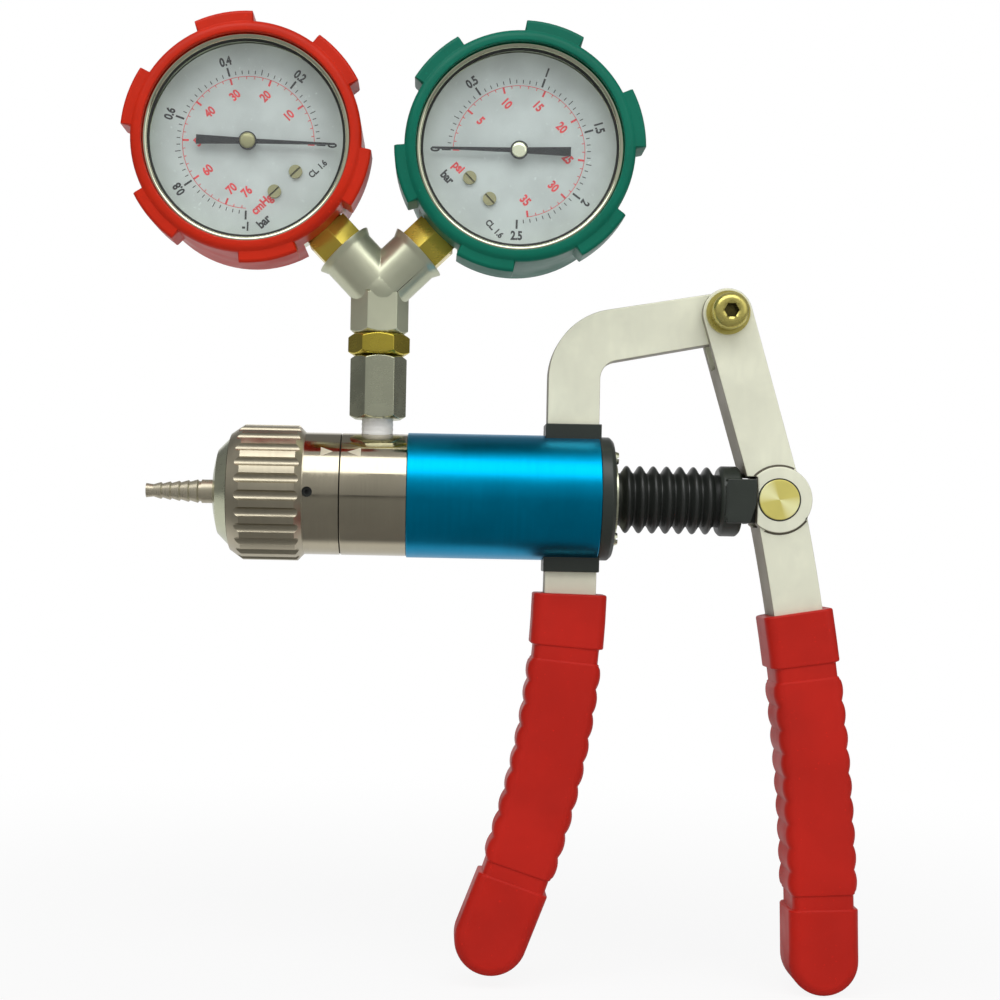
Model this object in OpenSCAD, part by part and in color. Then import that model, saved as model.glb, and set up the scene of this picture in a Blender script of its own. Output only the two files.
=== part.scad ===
// Hand vacuum and pressure pump with two boot-covered gauges.
// x runs along the pump from the nose to the handles, y runs away from the dials' faces, z is up.
// The origin is the middle of the nose face, where the hose barb is seated.

/* [Fits] */
// Gap between pieces that are fixed together
seat_gap = 0.05; // [0.02:0.01:0.1]
// Gap between faces that move past each other
run_gap = 0.3; // [0.2:0.05:0.5]
// Radial gap of a shaft in its bearing
shaft_gap = 0.05; // [0.02:0.01:0.1]

/* [Hose barb] */
// Length of the barb in front of the nose
barb_len = 20.6; // [18:0.1:30]
// Radius at the tip
barb_tip_r = 2.2; // [2:0.1:2.6]
// Radius of the largest ridge and of the plain land at the root
barb_root_r = 3.6; // [3.2:0.1:4.4]
// Number of ridges
barb_ridges = 5; // [3:1:6]
// Distance from ridge to ridge
barb_pitch = 2.8; // [2:0.1:2.9]
// Length of the plain land at the root
barb_land = 3.6; // [3:0.1:4]
// Radius of the air passage
air_r = 1.5; // [1:0.1:1.7]
// Radius of the threaded stud that holds the barb
barb_stud_r = 2.8; // [2.4:0.1:3.1]

/* [Nose and selector] */
// Length of the nose cone
nose_len = 5.2; // [4.5:0.1:8]
// Radius of the domed front face
nose_dome_r = 45; // [35:1:60]
// Radius of the edge between dome and cone
nose_edge_r = 13; // [11:0.1:14]
// Radius at the back of the nose cone
nose_back_r = 16.6; // [15:0.1:17.2]
// Length of the selector ring
ring_len = 33.3; // [31:0.1:40]
// Outer radius of the fluted part
knurl_r = 20.6; // [19.8:0.1:23]
// Length of the fluted part, with its front bevel
knurl_len = 20.4; // [16:0.1:21]
// Length of the front bevel
knurl_bevel = 4; // [3:0.1:6]
// Radius at the front of the bevel
ring_front_r = 17.8; // [16.8:0.1:18.4]
// Number of flutes
flute_count = 25; // [18:1:28]
// Radius of each flute
flute_r = 1.6; // [1.2:0.1:1.8]
// Depth of each flute
flute_depth = 1.1; // [0.8:0.1:1.2]
// Radius of the spindle that the ring turns on
spindle_r = 13; // [12:0.1:14]
// Radius of the stop screw
stop_r = 1.5; // [1.2:0.1:1.7]
// Turn of the selector between its stops
selector_turn = 90; // [60:5:120]

/* [Valve body] */
// Length of the valve body
valve_len = 19.9; // [19:0.1:26]
// Radius of the valve body and of the ring's collar
valve_r = 18.6; // [17.8:0.1:18.9]
// Distance from the valve body's front to the gauge port
port_reach = 10.4; // [10:0.1:12]
// Radius of the gauge port
port_r = 4.9; // [4.4:0.1:5.2]
// How far the spindle reaches into the valve body
spindle_reach = 5; // [4:0.1:5.5]
// Length of the spigot that plugs the tube
spigot_len = 8; // [7:0.1:9]

/* [Cylinder] */
// Length of the tube
tube_len = 57.9; // [56:0.1:80]
// Outer radius of the tube
tube_r = 19; // [18.6:0.1:21]
// Radius of the bore
bore_r = 16; // [15.6:0.1:16.6]

/* [Piston] */
// Length of the piston
piston_len = 10.5; // [9:0.1:11]
// Radius of the rod
rod_r = 2.5; // [2:0.1:2.8]
// Gap between piston and end housing at rest
piston_rest = 1.5; // [1:0.1:2]

/* [End housing] */
// Length of the plug inside the tube
plug_len = 18.3; // [17.6:0.1:19.5]
// Length of the flange behind the tube
flange_len = 4.4; // [4:0.1:6]
// Radius of the flange
flange_r = 18.8; // [18:0.1:19]
// Bevel round the flange
flange_bevel = 1.2; // [0.6:0.1:1.6]
// Height of each saddle above the tube
saddle_rise = 3.4; // [2:0.1:5]
// Depth of each saddle
saddle_t = 12; // [10.5:0.1:13]
// Wall of the saddle beside the handle bar
saddle_wall = 0.6; // [0.5:0.1:1.2]
// Height of the flange screws above and below the rod
screw_z = 12.1; // [11:0.1:12.6]
// Distance of the flange screws beside the rod
screw_y = 7; // [6.2:0.1:7.4]
// Radius of the flange screws' heads
screw_head_r = 2.2; // [1.8:0.1:2.4]
// Outer radius of the rod bush
bush_r = 4.5; // [3.8:0.1:5]
// Thickness of the washer that holds the bellows
retainer_t = 1.2; // [0.8:0.1:2]
// Radius of the washer that holds the bellows
retainer_r = 11.2; // [10.2:0.1:11.4]

/* [Bellows and rod end] */
// Length of the bellows at rest
bellows_len = 30.9; // [29:0.1:36]
// Number of folds
bellows_folds = 7; // [6:1:7]
// Radius over the folds
bellows_r = 10.3; // [9.6:0.1:10.6]
// Depth of the folds
bellows_depth = 2.3; // [1.6:0.1:2.4]
// Thickness of the rubber
bellows_wall = 1; // [0.8:0.1:1.1]
// Radius of the spring wire
spring_wire_r = 0.6; // [0.4:0.05:0.65]
// Mean radius of the return spring
spring_r = 5; // [4.4:0.1:5.4]
// Turns of the return spring
spring_turns = 7; // [5:1:8]
// Radius of the rod end's collar
collar_r = 10.7; // [9.8:0.1:10.8]
// Length of the collar
collar_len = 6.7; // [6:0.1:9]
// Distance from the collar to the rod pin
rod_end_reach = 11; // [10.9:0.1:14]
// Half the height of the squared neck between collar and lever
neck_r = 6.6; // [6.2:0.1:6.7]
// Depth of the squared neck and of the flats on the collar
neck_w = 19.2; // [17:0.1:20]
// Thickness of the flat tongue inside the lever
tongue_t = 8; // [6:0.1:8.6]
// Half the height of the tongue
tongue_r = 6.5; // [6:0.1:6.6]

/* [Fixed handle] */
// Width of the flat bar
bar_w = 15.7; // [15:0.1:16.2]
// Thickness of the flat bar
bar_t = 8; // [7.4:0.1:9]
// Radius of the upper corner, along the middle of the bar
corner_r = 13.5; // [11:0.1:15]
// Rise of the upper arm
arm_rise = 10.3; // [5:0.1:12]
// Distance of the upper arm's middle below the pivot
arm_drop = 0.7; // [0:0.1:1]
// Height at which the bar starts to curve below the tube
bend_z = -23; // [-26:0.1:-23]
// Radius of the curve below the tube, along the middle of the bar
bend_r = 290; // [270:1:400]
// Radius of the eye at the pivot
eye_r = 7.5; // [7:0.1:8]

/* [Lever] */
// Distance of the pivot behind the rod pin
pivot_dx = 16.5; // [15.8:0.1:17.2]
// Height of the pivot above the pump
pivot_z = 56.6; // [55.8:0.1:57.4]
// Height of the rod pin above the pump at rest
pin_z = 0.6; // [0.4:0.1:0.8]
// Width of the lever at the pivot
lever_top_w = 15; // [14:0.1:16]
// Width of the lever at and below the rod pin
lever_w = 14.8; // [14:0.1:15]
// Thickness of the lever
lever_t = 15; // [14.4:0.1:17]
// Radius of the round boss at the rod pin
boss_r = 10; // [10:0.1:11]
// Height of the boss above each face
boss_rise = 0.75; // [0.5:0.05:1.5]
// Angle of the lower arm from upright at the rod pin
lower_lean = 12.3; // [11:0.1:13]
// Radius of the lower arm, along the middle of the bar
lower_r = 715; // [680:1:1100]
// Depth of the fork below the pivot
fork_depth = 15; // [14:0.1:18]
// Radius of the rod pin
pin_r = 3; // [2.6:0.1:3.2]
// Radius of the rod pin's heads
pin_head_r = 6.1; // [5.4:0.1:6.3]
// Thickness of the rod pin's heads
pin_head_t = 1.8; // [1.6:0.1:2.2]
// Radius of the pivot bolt
bolt_r = 3; // [2.6:0.1:3.4]
// Radius of the pivot bolt's head
bolt_head_r = 5.4; // [4.8:0.1:6]
// Height of the pivot bolt's head
bolt_head_h = 6.4; // [5:0.1:8]
// Radius of the pivot washers
washer_r = 6.6; // [6:0.1:7.2]
// Thickness of the pivot washers
washer_t = 1.2; // [0.8:0.1:1.8]
// Travel of the lever
lever_travel = 18; // [12:0.5:18]

/* [Grips] */
// Width of the fixed handle's grip
fixed_grip_w = 22.2; // [21.6:0.1:24]
// Width of the lever's grip
lever_grip_w = 21; // [20.4:0.1:23]
// Depth of the fixed handle's grip
fixed_grip_t = 16; // [14:0.1:20]
// Depth of the lever's grip
lever_grip_t = 19.5; // [19:0.1:23]
// Length of the fixed handle's grip along its bar
fixed_grip_len = 119; // [112:0.5:124]
// Length of the lever's grip along its bar
lever_grip_len = 116; // [112:0.5:124]
// Distance from the bend to the top of the fixed grip
fixed_grip_drop = 6; // [5:0.1:9]
// Distance from the rod pin to the top of the lever grip
lever_grip_drop = 34.5; // [33:0.1:40]
// Length of the smooth band at the top
band_len = 16; // [14:0.1:18]
// Length of each groove round the grip
groove_len = 4.5; // [3:0.1:5.5]
// Depth of each groove at the sides of the grip
groove_depth = 1.2; // [0.8:0.1:1.6]
// Depth of each groove across the grip's front and back
groove_front = 0.4; // [0.2:0.1:1]
// Number of finger ridges on each side
ridge_count = 9; // [7:1:10]
// Pitch of the finger ridges
ridge_pitch = 7.2; // [7:0.1:7.5]
// Height of the finger ridges
ridge_rise = 0.8; // [0.5:0.1:1.2]
// Rounding of the grip's long edges
grip_round = 3.4; // [1.5:0.1:4.4]

/* [Gauge column] */
// Height of the visible thread seal above the valve body
seal_rise = 4.3; // [3:0.1:6]
// Thickness of the thread seal
seal_t = 0.6; // [0.4:0.1:0.8]
// Width of the adapter across its flats
adapter_af = 15; // [14:0.1:16.5]
// Turn of the adapter's hexagon
adapter_turn = 5; // [0:1:30]
// Length of the adapter's hexagon
adapter_len = 19.4; // [16:0.1:24]
// Width of the lock nut across its flats
nut_af = 16.4; // [15.6:0.1:18]
// Length of the lock nut
nut_len = 6.6; // [5:0.1:8]
// Radius of the threads between adapter, nut and fitting
thread_r = 4.9; // [4.4:0.1:5.3]
// Width of the Y fitting's hexagon across its flats
wye_af = 15.5; // [14.5:0.1:17]
// Turn of the Y fitting's hexagon
wye_turn = 8; // [0:1:30]
// Length of the Y fitting's hexagon
wye_hex_len = 12.1; // [11:0.1:14]
// Height from the hexagon to the branch
wye_rise = 2; // [1.5:0.1:4]
// Radius of the Y fitting's arms
wye_r = 8.5; // [8:0.1:9.5]
// Length of each arm from the branch
wye_arm = 16.2; // [15:0.1:20]
// Lean of the vacuum gauge's arm from upright
vacuum_lean = 44; // [43.5:0.1:48]
// Lean of the pressure gauge's arm from upright
pressure_lean = 45.7; // [44:0.1:48]

/* [Gauges] */
// Length of the stem from the case to the Y fitting's arm
stem_len = 9.8; // [9:0.1:14]
// Width of the stem's hexagon across its flats
stem_af = 14; // [13.4:0.1:15]
// Radius of the stem's thread
stem_r = 4.8; // [4.4:0.1:5.2]
// Length of the stem's thread
stem_thread = 7.5; // [6:0.1:8]
// Outer radius of the case
case_r = 31.4; // [31:0.1:33]
// Wall of the case
case_wall = 1.6; // [1.4:0.1:1.8]
// Depth of the case behind the stem's axis
case_back = 14.5; // [12:0.1:17]
// Depth of the case in front of the stem's axis
case_front = 16.4; // [16:0.1:19]
// Height of the bezel over the case
bezel_h = 2; // [1.6:0.1:3]
// Width of the bezel
bezel_w = 2.2; // [1.8:0.1:2.4]
// Thickness of the window
window_t = 1.6; // [1.4:0.1:1.8]
// Depth of the dial's face in front of the stem's axis
dial_front = 10.7; // [10.4:0.1:11.5]
// Thickness of the dial
dial_t = 0.8; // [0.6:0.1:1]
// Radius of the circle on which the dial screws lie
dial_screw_reach = 16.7; // [15.6:0.1:17.5]
// Angle of each dial screw from the stem
dial_screw_angle = 15; // [12:1:18]
// Thickness of the boot's wall round the case
boot_wall = 2.8; // [1.8:0.1:3.4]
// Height of the boot's lobes over its wall
lobe_rise = 3; // [2:0.1:4]
// Depth of the lobes from the boot's front
lobe_depth = 14.6; // [10:0.1:22]
// Width of each lobe
lobe_deg = 27; // [20:1:32]
// Turn of the vacuum boot's lobes about its dial
vacuum_lobe_turn = -2.5; // [-6:0.1:6]
// Reach of the boot's front lip over the bezel
boot_overlap = 0.6; // [0.4:0.1:1.4]
// Thickness of the boot's front and back lips
boot_lip = 2.2; // [1.6:0.1:3]
// Radius of the pointer from the arbor to its tip
pointer_tip = 26; // [22:0.5:27]
// Length of the pointer's tail
pointer_tail = 15.4; // [12:0.1:17]

/* [Hidden] */
$fn = 96;

// Sides of the two gauges: the vacuum gauge leans left, the pressure gauge leans right
VACUUM = -1;
PRESSURE = 1;

// Colours
NICKEL = [0.66, 0.63, 0.57];
STEEL = [0.72, 0.72, 0.70];
SATIN = [0.84, 0.83, 0.77];
BRASS = [0.84, 0.76, 0.34];
BLUE = [0.05, 0.55, 0.75];
BLACK = [0.08, 0.09, 0.09];
RED = [0.74, 0.14, 0.10];
BOOT_RED = [0.80, 0.14, 0.05];
BOOT_GREEN = [0.02, 0.46, 0.35];
WHITE = [0.92, 0.93, 0.94];
CLEAR = [0.85, 0.90, 0.92, 0.35];

// Overshoot of every cut past the face it opens
cut = 1;

// Chords that a bend of a bar is drawn with
bend_steps = 32;

// Stations along the pump
ring_x0 = nose_len + run_gap;
ring_x1 = ring_x0 + ring_len;
valve_x0 = ring_x1 + run_gap;
tube_x0 = valve_x0 + valve_len;
tube_x1 = tube_x0 + tube_len;
plug_x0 = tube_x1 - plug_len;
flange_x1 = tube_x1 + flange_len;
retainer_x1 = flange_x1 + retainer_t;
bellows_x1 = retainer_x1 + bellows_len;
collar_x1 = bellows_x1 + collar_len;
pin_x = collar_x1 + rod_end_reach;
piston_x1 = plug_x0 - piston_rest;
piston_x0 = piston_x1 - piston_len;
port_x = valve_x0 + port_reach;

// Selector and spindle
spindle_x1 = valve_x0 + spindle_reach;
ring_bore_r = spindle_r + shaft_gap;
collar_back = 2;
stop_gap = 1.7;
stop_x = ring_x0 + knurl_len + collar_back + stop_gap;
stop_tip_r = 1.2;
stop_groove_depth = 1.2;
stop_sink = 0.8;
stop_in_r = spindle_r - stop_groove_depth + run_gap;
stop_slack = asin((stop_tip_r + run_gap) / stop_in_r);
oring_r = 0.95;
oring_front = 6;
oring_behind = 3;
oring_x = [ring_x0 + oring_front, ring_x1 - oring_behind];

// Valve body
port_depth = 10;
port_floor = valve_r - port_depth;
tube_oring_r = 0.75;
tube_oring_x = tube_x0 + spigot_len / 2;
check_r = 4;
check_t = 3;
check_y = 7.5;

// End housing, with the handle's bar flush with the end of the tube
bar_x = tube_x1 - bar_w / 2;
bar_x0 = bar_x - bar_w / 2;
saddle_x0 = bar_x0 - saddle_wall;
saddle_x1 = tube_x1 + saddle_wall;
saddle_z = tube_r + saddle_rise;
screw_r = 1.5;
screw_len = 8;
screw_head_h = 1.3;
bush_len = flange_len - saddle_wall;
rod_hole_r = rod_r + run_gap;

// Bellows, spring and rod end
seat_len = 3.5;
seat_r = bellows_r - bellows_depth - bellows_wall - run_gap / 2;
cuff_len = 1.2;
fold_len = (bellows_len - 2 * cuff_len) / bellows_folds;
fold_steps = 6;
spring_x1 = bellows_x1 - seat_len;
spring_rings = 8;
spring_sides = 6;
spring_rise = (spring_x1 - retainer_x1 - 2 * spring_wire_r) / spring_turns;
rod_sink = 6;
neck_gap = 7;
neck_inset = 1.9;
neck_turn_z = -0.7;
neck_slope = (neck_r + neck_turn_z) * tan(lever_travel);
slot_r = pin_r + run_gap - shaft_gap;

// Lever: pivot P, rod pin Q and the turn of the line between them
pivot_x = pin_x - pivot_dx;
pivot = [pivot_x, pivot_z];
pin = [pin_x, pin_z];
lever_arm = norm(pin - pivot);
lever_lean = atan2(pivot_dx, pivot_z - pin_z);
pin_low = pivot_z - lever_arm * cos(max(0, lever_lean - lever_travel));
fork_w = bar_t + 2 * run_gap;
pocket_w = tongue_t + 2 * run_gap;
pocket_r = boss_r - 1.4;
notch_clear = 0.4;
notch_gap = neck_gap - notch_clear;
notch_top = 6.8;
pocket_top = 7.8;
notch_low = -8.3;
boss_t = lever_t + 2 * boss_rise;
head_sink = 1.4;
pivot_bush_r = bolt_r + 1.2;
socket_af = 5;
socket_depth = 3;
pivot_nut_af = 10;
pivot_nut_h = 5;
bolt_past = 1.5;

// Upper corner of the fixed handle: where the upright bar meets the circle of the corner
arm_z = pivot_z - arm_drop / cos(arm_rise);
corner_z = arm_z - (pivot_x - bar_x) * tan(arm_rise) - corner_r * tan((90 - arm_rise) / 2);
corner = [bar_x + corner_r, corner_z];
arm_start = corner + corner_r * [-sin(arm_rise), cos(arm_rise)];
arm_normal = [-sin(arm_rise), cos(arm_rise)];

// Grips: the bars stop short of the grips' round ends
fixed_bar_short = 11;
lever_bar_short = 15;
fixed_bar_stop = fixed_grip_len - fixed_bar_short;
lever_bar_stop = lever_grip_len - lever_bar_short;
ridge_start = band_len + groove_len;
ridge_end = ridge_start + ridge_count * ridge_pitch;
bump_r = (ridge_pitch * ridge_pitch / 4 + ridge_rise * ridge_rise) / (2 * ridge_rise);
ridge_room = 0.3;

// Gauge column
seal_z1 = valve_r + seal_rise;
adapter_z1 = seal_z1 + adapter_len;
nut_z1 = adapter_z1 + nut_len;
wye_z1 = nut_z1 + wye_hex_len;
branch_z = wye_z1 + wye_rise;
thread_reach = 8;
stem_reach = case_r + stem_len;
gauge_reach = wye_arm + stem_reach;
wye_bore_r = 2.5;

// Gauge, drawn with its axis along z, its face towards +z and its stem towards -y
bezel_front = case_front + bezel_h;
boot_front = bezel_front + boot_lip;
boot_back = case_back + seat_gap + boot_lip;
boot_bevel = 1.4;
boot_r = case_r + boot_wall;
boot_open_r = case_r - boot_overlap;
boot_back_w = 5;
boot_back_r = case_r - boot_back_w;
lobe_r = boot_r + lobe_rise;
lobe_bevel = 1;
lobe_z0 = boot_front - lobe_depth;
case_bevel = 1;
bezel_bevel = 0.6;
case_in_r = case_r - case_wall;
window_r = case_r - case_wall / 2;
window_back = case_front - window_t + 0.6;
dial_back = dial_front - dial_t;
dial_r = case_in_r - 0.2;
ledge_w = 1.4;
ledge_t = 0.9;
neck_stem_r = 6.5;
hex_len = 7.7;
block_w = 15;
block_y0 = -26.5;
block_y1 = -13;
block_back = 5.5;
dial_screw_r = 0.95;
dial_screw_len = 5;
dial_head_r = 2;
dial_head_h = 0.9;
tube_mean_r = 22;
bourdon_w = 2.4;
bourdon_h = 6.8;
bourdon_back = 5;
bourdon_tip = 196;
plate_t = 1;
plate_back = -6.6;
plate_front = 4;
post_r = 1.2;
arbor_r = 1;
pinion_teeth = 10;
sector_teeth = 100;
gear_module = 0.28;
pinion_r = gear_module * pinion_teeth / 2;
sector_r = gear_module * sector_teeth / 2;
tooth_half = 0.25;
tooth_w = 0.26;
tooth_slack = 0.03;
gear_z = 0.9;
gear_t = 1.2;
sector_pivot = (pinion_r + sector_r) * [-cos(45), -sin(45)];
sector_pin_r = 0.8;
tail_len = 7;
pointer_travel = 270;
pointer_z = 12.4;
pointer_t = 0.6;
pointer_w = 2.7;
hub_r = 2.7;
hub_t = 1.2;

function lean(side) = side == VACUUM ? vacuum_lean : pressure_lean;
function zero_angle(side) = side == VACUUM ? -45 : 225;
function barb_z(i) = -barb_land - 0.8 - (barb_ridges - i) * barb_pitch;
function barb_peak(i) = barb_tip_r + 0.4 + (barb_root_r - barb_tip_r - 0.4) * i / (barb_ridges - 1);
function arc_deg(length, radius) = length / radius * 180 / PI;
function bend(centre, radius, from_deg, to_deg) = [
    for (i = [0:bend_steps])
        let (a = from_deg + (to_deg - from_deg) * i / bend_steps)
            centre + radius * [cos(a), sin(a)]
];
function hex_r(flats) = flats / 2 / cos(30);

// Corner points of a rounded rectangle, for sections that are revolved
function round_rect(w, h, r) = [
    for (q = [0:3])
        for (k = [0:3])
            let (a = q * 90 + k * 30)
                [(q == 0 || q == 3 ? 1 : -1) * (w / 2 - r) + r * cos(a),
                 (q < 2 ? 1 : -1) * (h / 2 - r) + r * sin(a)]
];

// Radius of the bellows' outer face at a place along its folds
function fold_r(x) = bellows_r - bellows_depth / 2 + bellows_depth / 2 * cos(360 * x / fold_len + 180);

// Points of one ring of the return spring
function spring_ring(i) =
    let (
        a = 360 * i / spring_rings,
        x = retainer_x1 + spring_wire_r + spring_rise * i / spring_rings
    ) [
        for (k = [0:spring_sides - 1])
            let (
                b = 360 * k / spring_sides,
                r = spring_r + spring_wire_r * cos(b)
            ) [x + spring_wire_r * sin(b), r * cos(a), r * sin(a)]
    ];

// Places a shape drawn about z on the pump's axis
module along_pump(x) {
    translate([x, 0, 0]) rotate([0, 90, 0]) children();
}

// Stands up a shape drawn in the front plane, with x right, y up and z towards the viewer
module upright() {
    rotate([90, 0, 0]) children();
}

// Places a shape of the gauge: drawn with its face towards z and its stem towards -y
module on_gauge(side) {
    translate([
        port_x + side * gauge_reach * sin(lean(side)),
        0,
        branch_z + gauge_reach * cos(lean(side))
    ])
        rotate([0, side * lean(side), 0])
            upright() children();
}

// Tube between two radii
module ring(outer, inner, h) {
    difference() {
        cylinder(h = h, r = outer);
        translate([0, 0, -cut]) cylinder(h = h + 2 * cut, r = inner);
    }
}

// Hexagonal prism with its flats facing along y
module hexagon(flats, h) {
    cylinder(h = h, r = hex_r(flats), $fn = 6);
}

// Hexagonal prism whose corners are turned off at one or both ends
module turned_hexagon(flats, h, low, high) {
    bevel = (hex_r(flats) - flats / 2) * 0.9;
    cut_r = hex_r(flats) - 1.6 * bevel;
    // The turning cut runs past the corners of the hexagon
    clear = bevel / 2;
    out_r = hex_r(flats) + clear;
    rise = bevel + clear / 1.6;
    intersection() {
        hexagon(flats, h);
        rotate_extrude()
            polygon([
                [0, 0],
                [low ? cut_r : out_r, 0],
                [out_r, rise],
                [out_r, h - rise],
                [high ? cut_r : out_r, h],
                [0, h]
            ]);
    }
}

// Round ring of round section
module oring(mean_r, section_r) {
    rotate_extrude() translate([mean_r, 0]) circle(r = section_r, $fn = 32);
}

// Flat bar along a circle about the origin of the front plane, from one angle to another
module arc_bar(radius, w, t, from_deg, to_deg) {
    rotate([0, 0, from_deg])
        rotate_extrude(angle = to_deg - from_deg)
            translate([radius - w / 2, -t / 2]) square([w, t]);
}

// Hose barb with saw-tooth ridges and a threaded stud
module hose_barb() {
    tip = [[air_r, -barb_len], [barb_tip_r, -barb_len]];
    tooth_rise = 0.7;
    tooth_back = 0.5;
    teeth = [
        for (i = [0:barb_ridges - 1])
            each [
                [barb_peak(i) - tooth_rise, barb_z(i)],
                [barb_peak(i), barb_z(i) + barb_pitch - tooth_back]
            ]
    ];
    root = [
        [barb_root_r - 0.5, barb_z(barb_ridges)],
        [barb_root_r - 0.5, -barb_land],
        [barb_root_r, -barb_land],
        [barb_root_r, 0],
        [barb_stud_r, 0],
        [barb_stud_r, nose_len - seat_gap],
        [air_r, nose_len - seat_gap]
    ];
    color(NICKEL) along_pump(0) rotate_extrude() polygon(concat(tip, teeth, root));
}

// Domed nose that holds the barb against the spindle
module nose_cone() {
    flat_r = barb_root_r + 1.4;
    dome_x = sqrt(nose_dome_r * nose_dome_r - flat_r * flat_r);
    edge_x = dome_x - sqrt(nose_dome_r * nose_dome_r - nose_edge_r * nose_edge_r);
    color(STEEL) along_pump(0) difference() {
        intersection() {
            translate([0, 0, dome_x]) sphere(r = nose_dome_r);
            union() {
                cylinder(h = edge_x, r = nose_edge_r);
                translate([0, 0, edge_x])
                    cylinder(h = nose_len - edge_x, r1 = nose_edge_r, r2 = nose_back_r);
            }
        }
        translate([0, 0, -cut]) cylinder(h = nose_len + 2 * cut, r = barb_stud_r + seat_gap);
    }
}

// Fluted selector ring with a smooth collar
module selector_ring() {
    profile = [
        [ring_bore_r, 0],
        [ring_front_r, 0],
        [knurl_r, knurl_bevel],
        [knurl_r, knurl_len],
        [valve_r, knurl_len + collar_back],
        [valve_r, ring_len],
        [ring_bore_r, ring_len]
    ];
    color(NICKEL) difference() {
        along_pump(ring_x0) difference() {
            rotate_extrude() polygon(profile);
            for (i = [0:flute_count - 1])
                rotate([0, 0, i * 360 / flute_count])
                    translate([knurl_r + flute_r - flute_depth, 0, -cut])
                        cylinder(h = knurl_len + collar_back + cut, r = flute_r, $fn = 32);
        }
        translate([stop_x, 0, 0]) rotate([90, 0, 0]) cylinder(h = valve_r + cut, r = stop_r + seat_gap);
    }
}

// Grub screw whose tip runs in the spindle's groove
module stop_screw() {
    color(BLACK) translate([stop_x, 0, 0]) rotate([90, 0, 0]) difference() {
        union() {
            translate([0, 0, stop_in_r]) cylinder(h = spindle_r - stop_in_r + 1, r = stop_tip_r);
            translate([0, 0, spindle_r + 0.6])
                cylinder(h = valve_r - stop_sink - spindle_r - 0.6, r = stop_r);
        }
        translate([0, 0, valve_r - stop_sink - 1.2]) cylinder(h = 1.2 + cut, r = 0.8, $fn = 6);
    }
}

// Spindle that carries the selector ring, with its air passage, ring grooves and stop groove
module valve_spindle() {
    groove_r = spindle_r - 2 * oring_r - shaft_gap;
    color(STEEL) difference() {
        along_pump(nose_len) cylinder(h = spindle_x1 - nose_len, r = spindle_r);
        along_pump(nose_len - cut) cylinder(h = spindle_x1 - nose_len + 2 * cut, r = air_r);
        for (x = oring_x)
            along_pump(x - oring_r - seat_gap) ring(spindle_r + cut, groove_r, 2 * (oring_r + seat_gap));
        along_pump(stop_x)
            rotate([0, 0, -90 - stop_slack])
                rotate_extrude(angle = selector_turn + 2 * stop_slack)
                    translate([spindle_r - stop_groove_depth, -stop_tip_r - run_gap])
                        square([stop_groove_depth + cut, 2 * (stop_tip_r + run_gap)]);
    }
}

// Seals between spindle and selector ring
module spindle_orings() {
    color(BLACK) for (x = oring_x) along_pump(x) oring(spindle_r - oring_r, oring_r);
}

// Valve body with the gauge port on top and a spigot in the tube
module valve_body() {
    groove_r = bore_r - seat_gap - 2 * tube_oring_r - seat_gap;
    color(NICKEL) difference() {
        union() {
            along_pump(valve_x0) cylinder(h = valve_len, r = valve_r);
            along_pump(tube_x0) cylinder(h = spigot_len, r = bore_r - seat_gap);
        }
        along_pump(valve_x0 - cut) cylinder(h = spindle_reach + seat_gap + cut, r = spindle_r + seat_gap);
        along_pump(valve_x0) cylinder(h = port_reach, r = air_r);
        along_pump(tube_oring_x - tube_oring_r - seat_gap)
            ring(bore_r + cut, groove_r, 2 * (tube_oring_r + seat_gap));
        translate([port_x, 0, port_floor]) cylinder(h = valve_r, r = port_r);
        translate([port_x, 0, 0]) cylinder(h = valve_r, r = air_r);
        for (side = [-1, 1]) translate([0, side * check_y, 0]) {
            along_pump(tube_x0 + spigot_len - check_t - seat_gap)
                cylinder(h = check_t + cut, r = check_r + seat_gap);
            along_pump(valve_x0 + spindle_reach - cut)
                cylinder(h = tube_x0 + spigot_len - valve_x0 - spindle_reach, r = air_r);
        }
    }
}

// Intake and outlet valves between valve body and cylinder
module check_valves() {
    color(BLACK) for (side = [-1, 1])
        translate([0, side * check_y, 0])
            along_pump(tube_x0 + spigot_len - check_t) ring(check_r, air_r / 2, check_t);
}

// Anodised tube, slotted at its back end for the saddles
module cylinder_tube() {
    color(BLUE) difference() {
        along_pump(tube_x0) ring(tube_r, bore_r, tube_len);
        translate([saddle_x0 - seat_gap, -saddle_t / 2 - seat_gap, -tube_r - cut])
            cube([plug_len + cut, saddle_t + 2 * seat_gap, 2 * (tube_r + cut)]);
    }
}

// Seal between valve body and tube
module tube_oring() {
    color(BLACK) along_pump(tube_oring_x) oring(bore_r - seat_gap - tube_oring_r, tube_oring_r);
}

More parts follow.
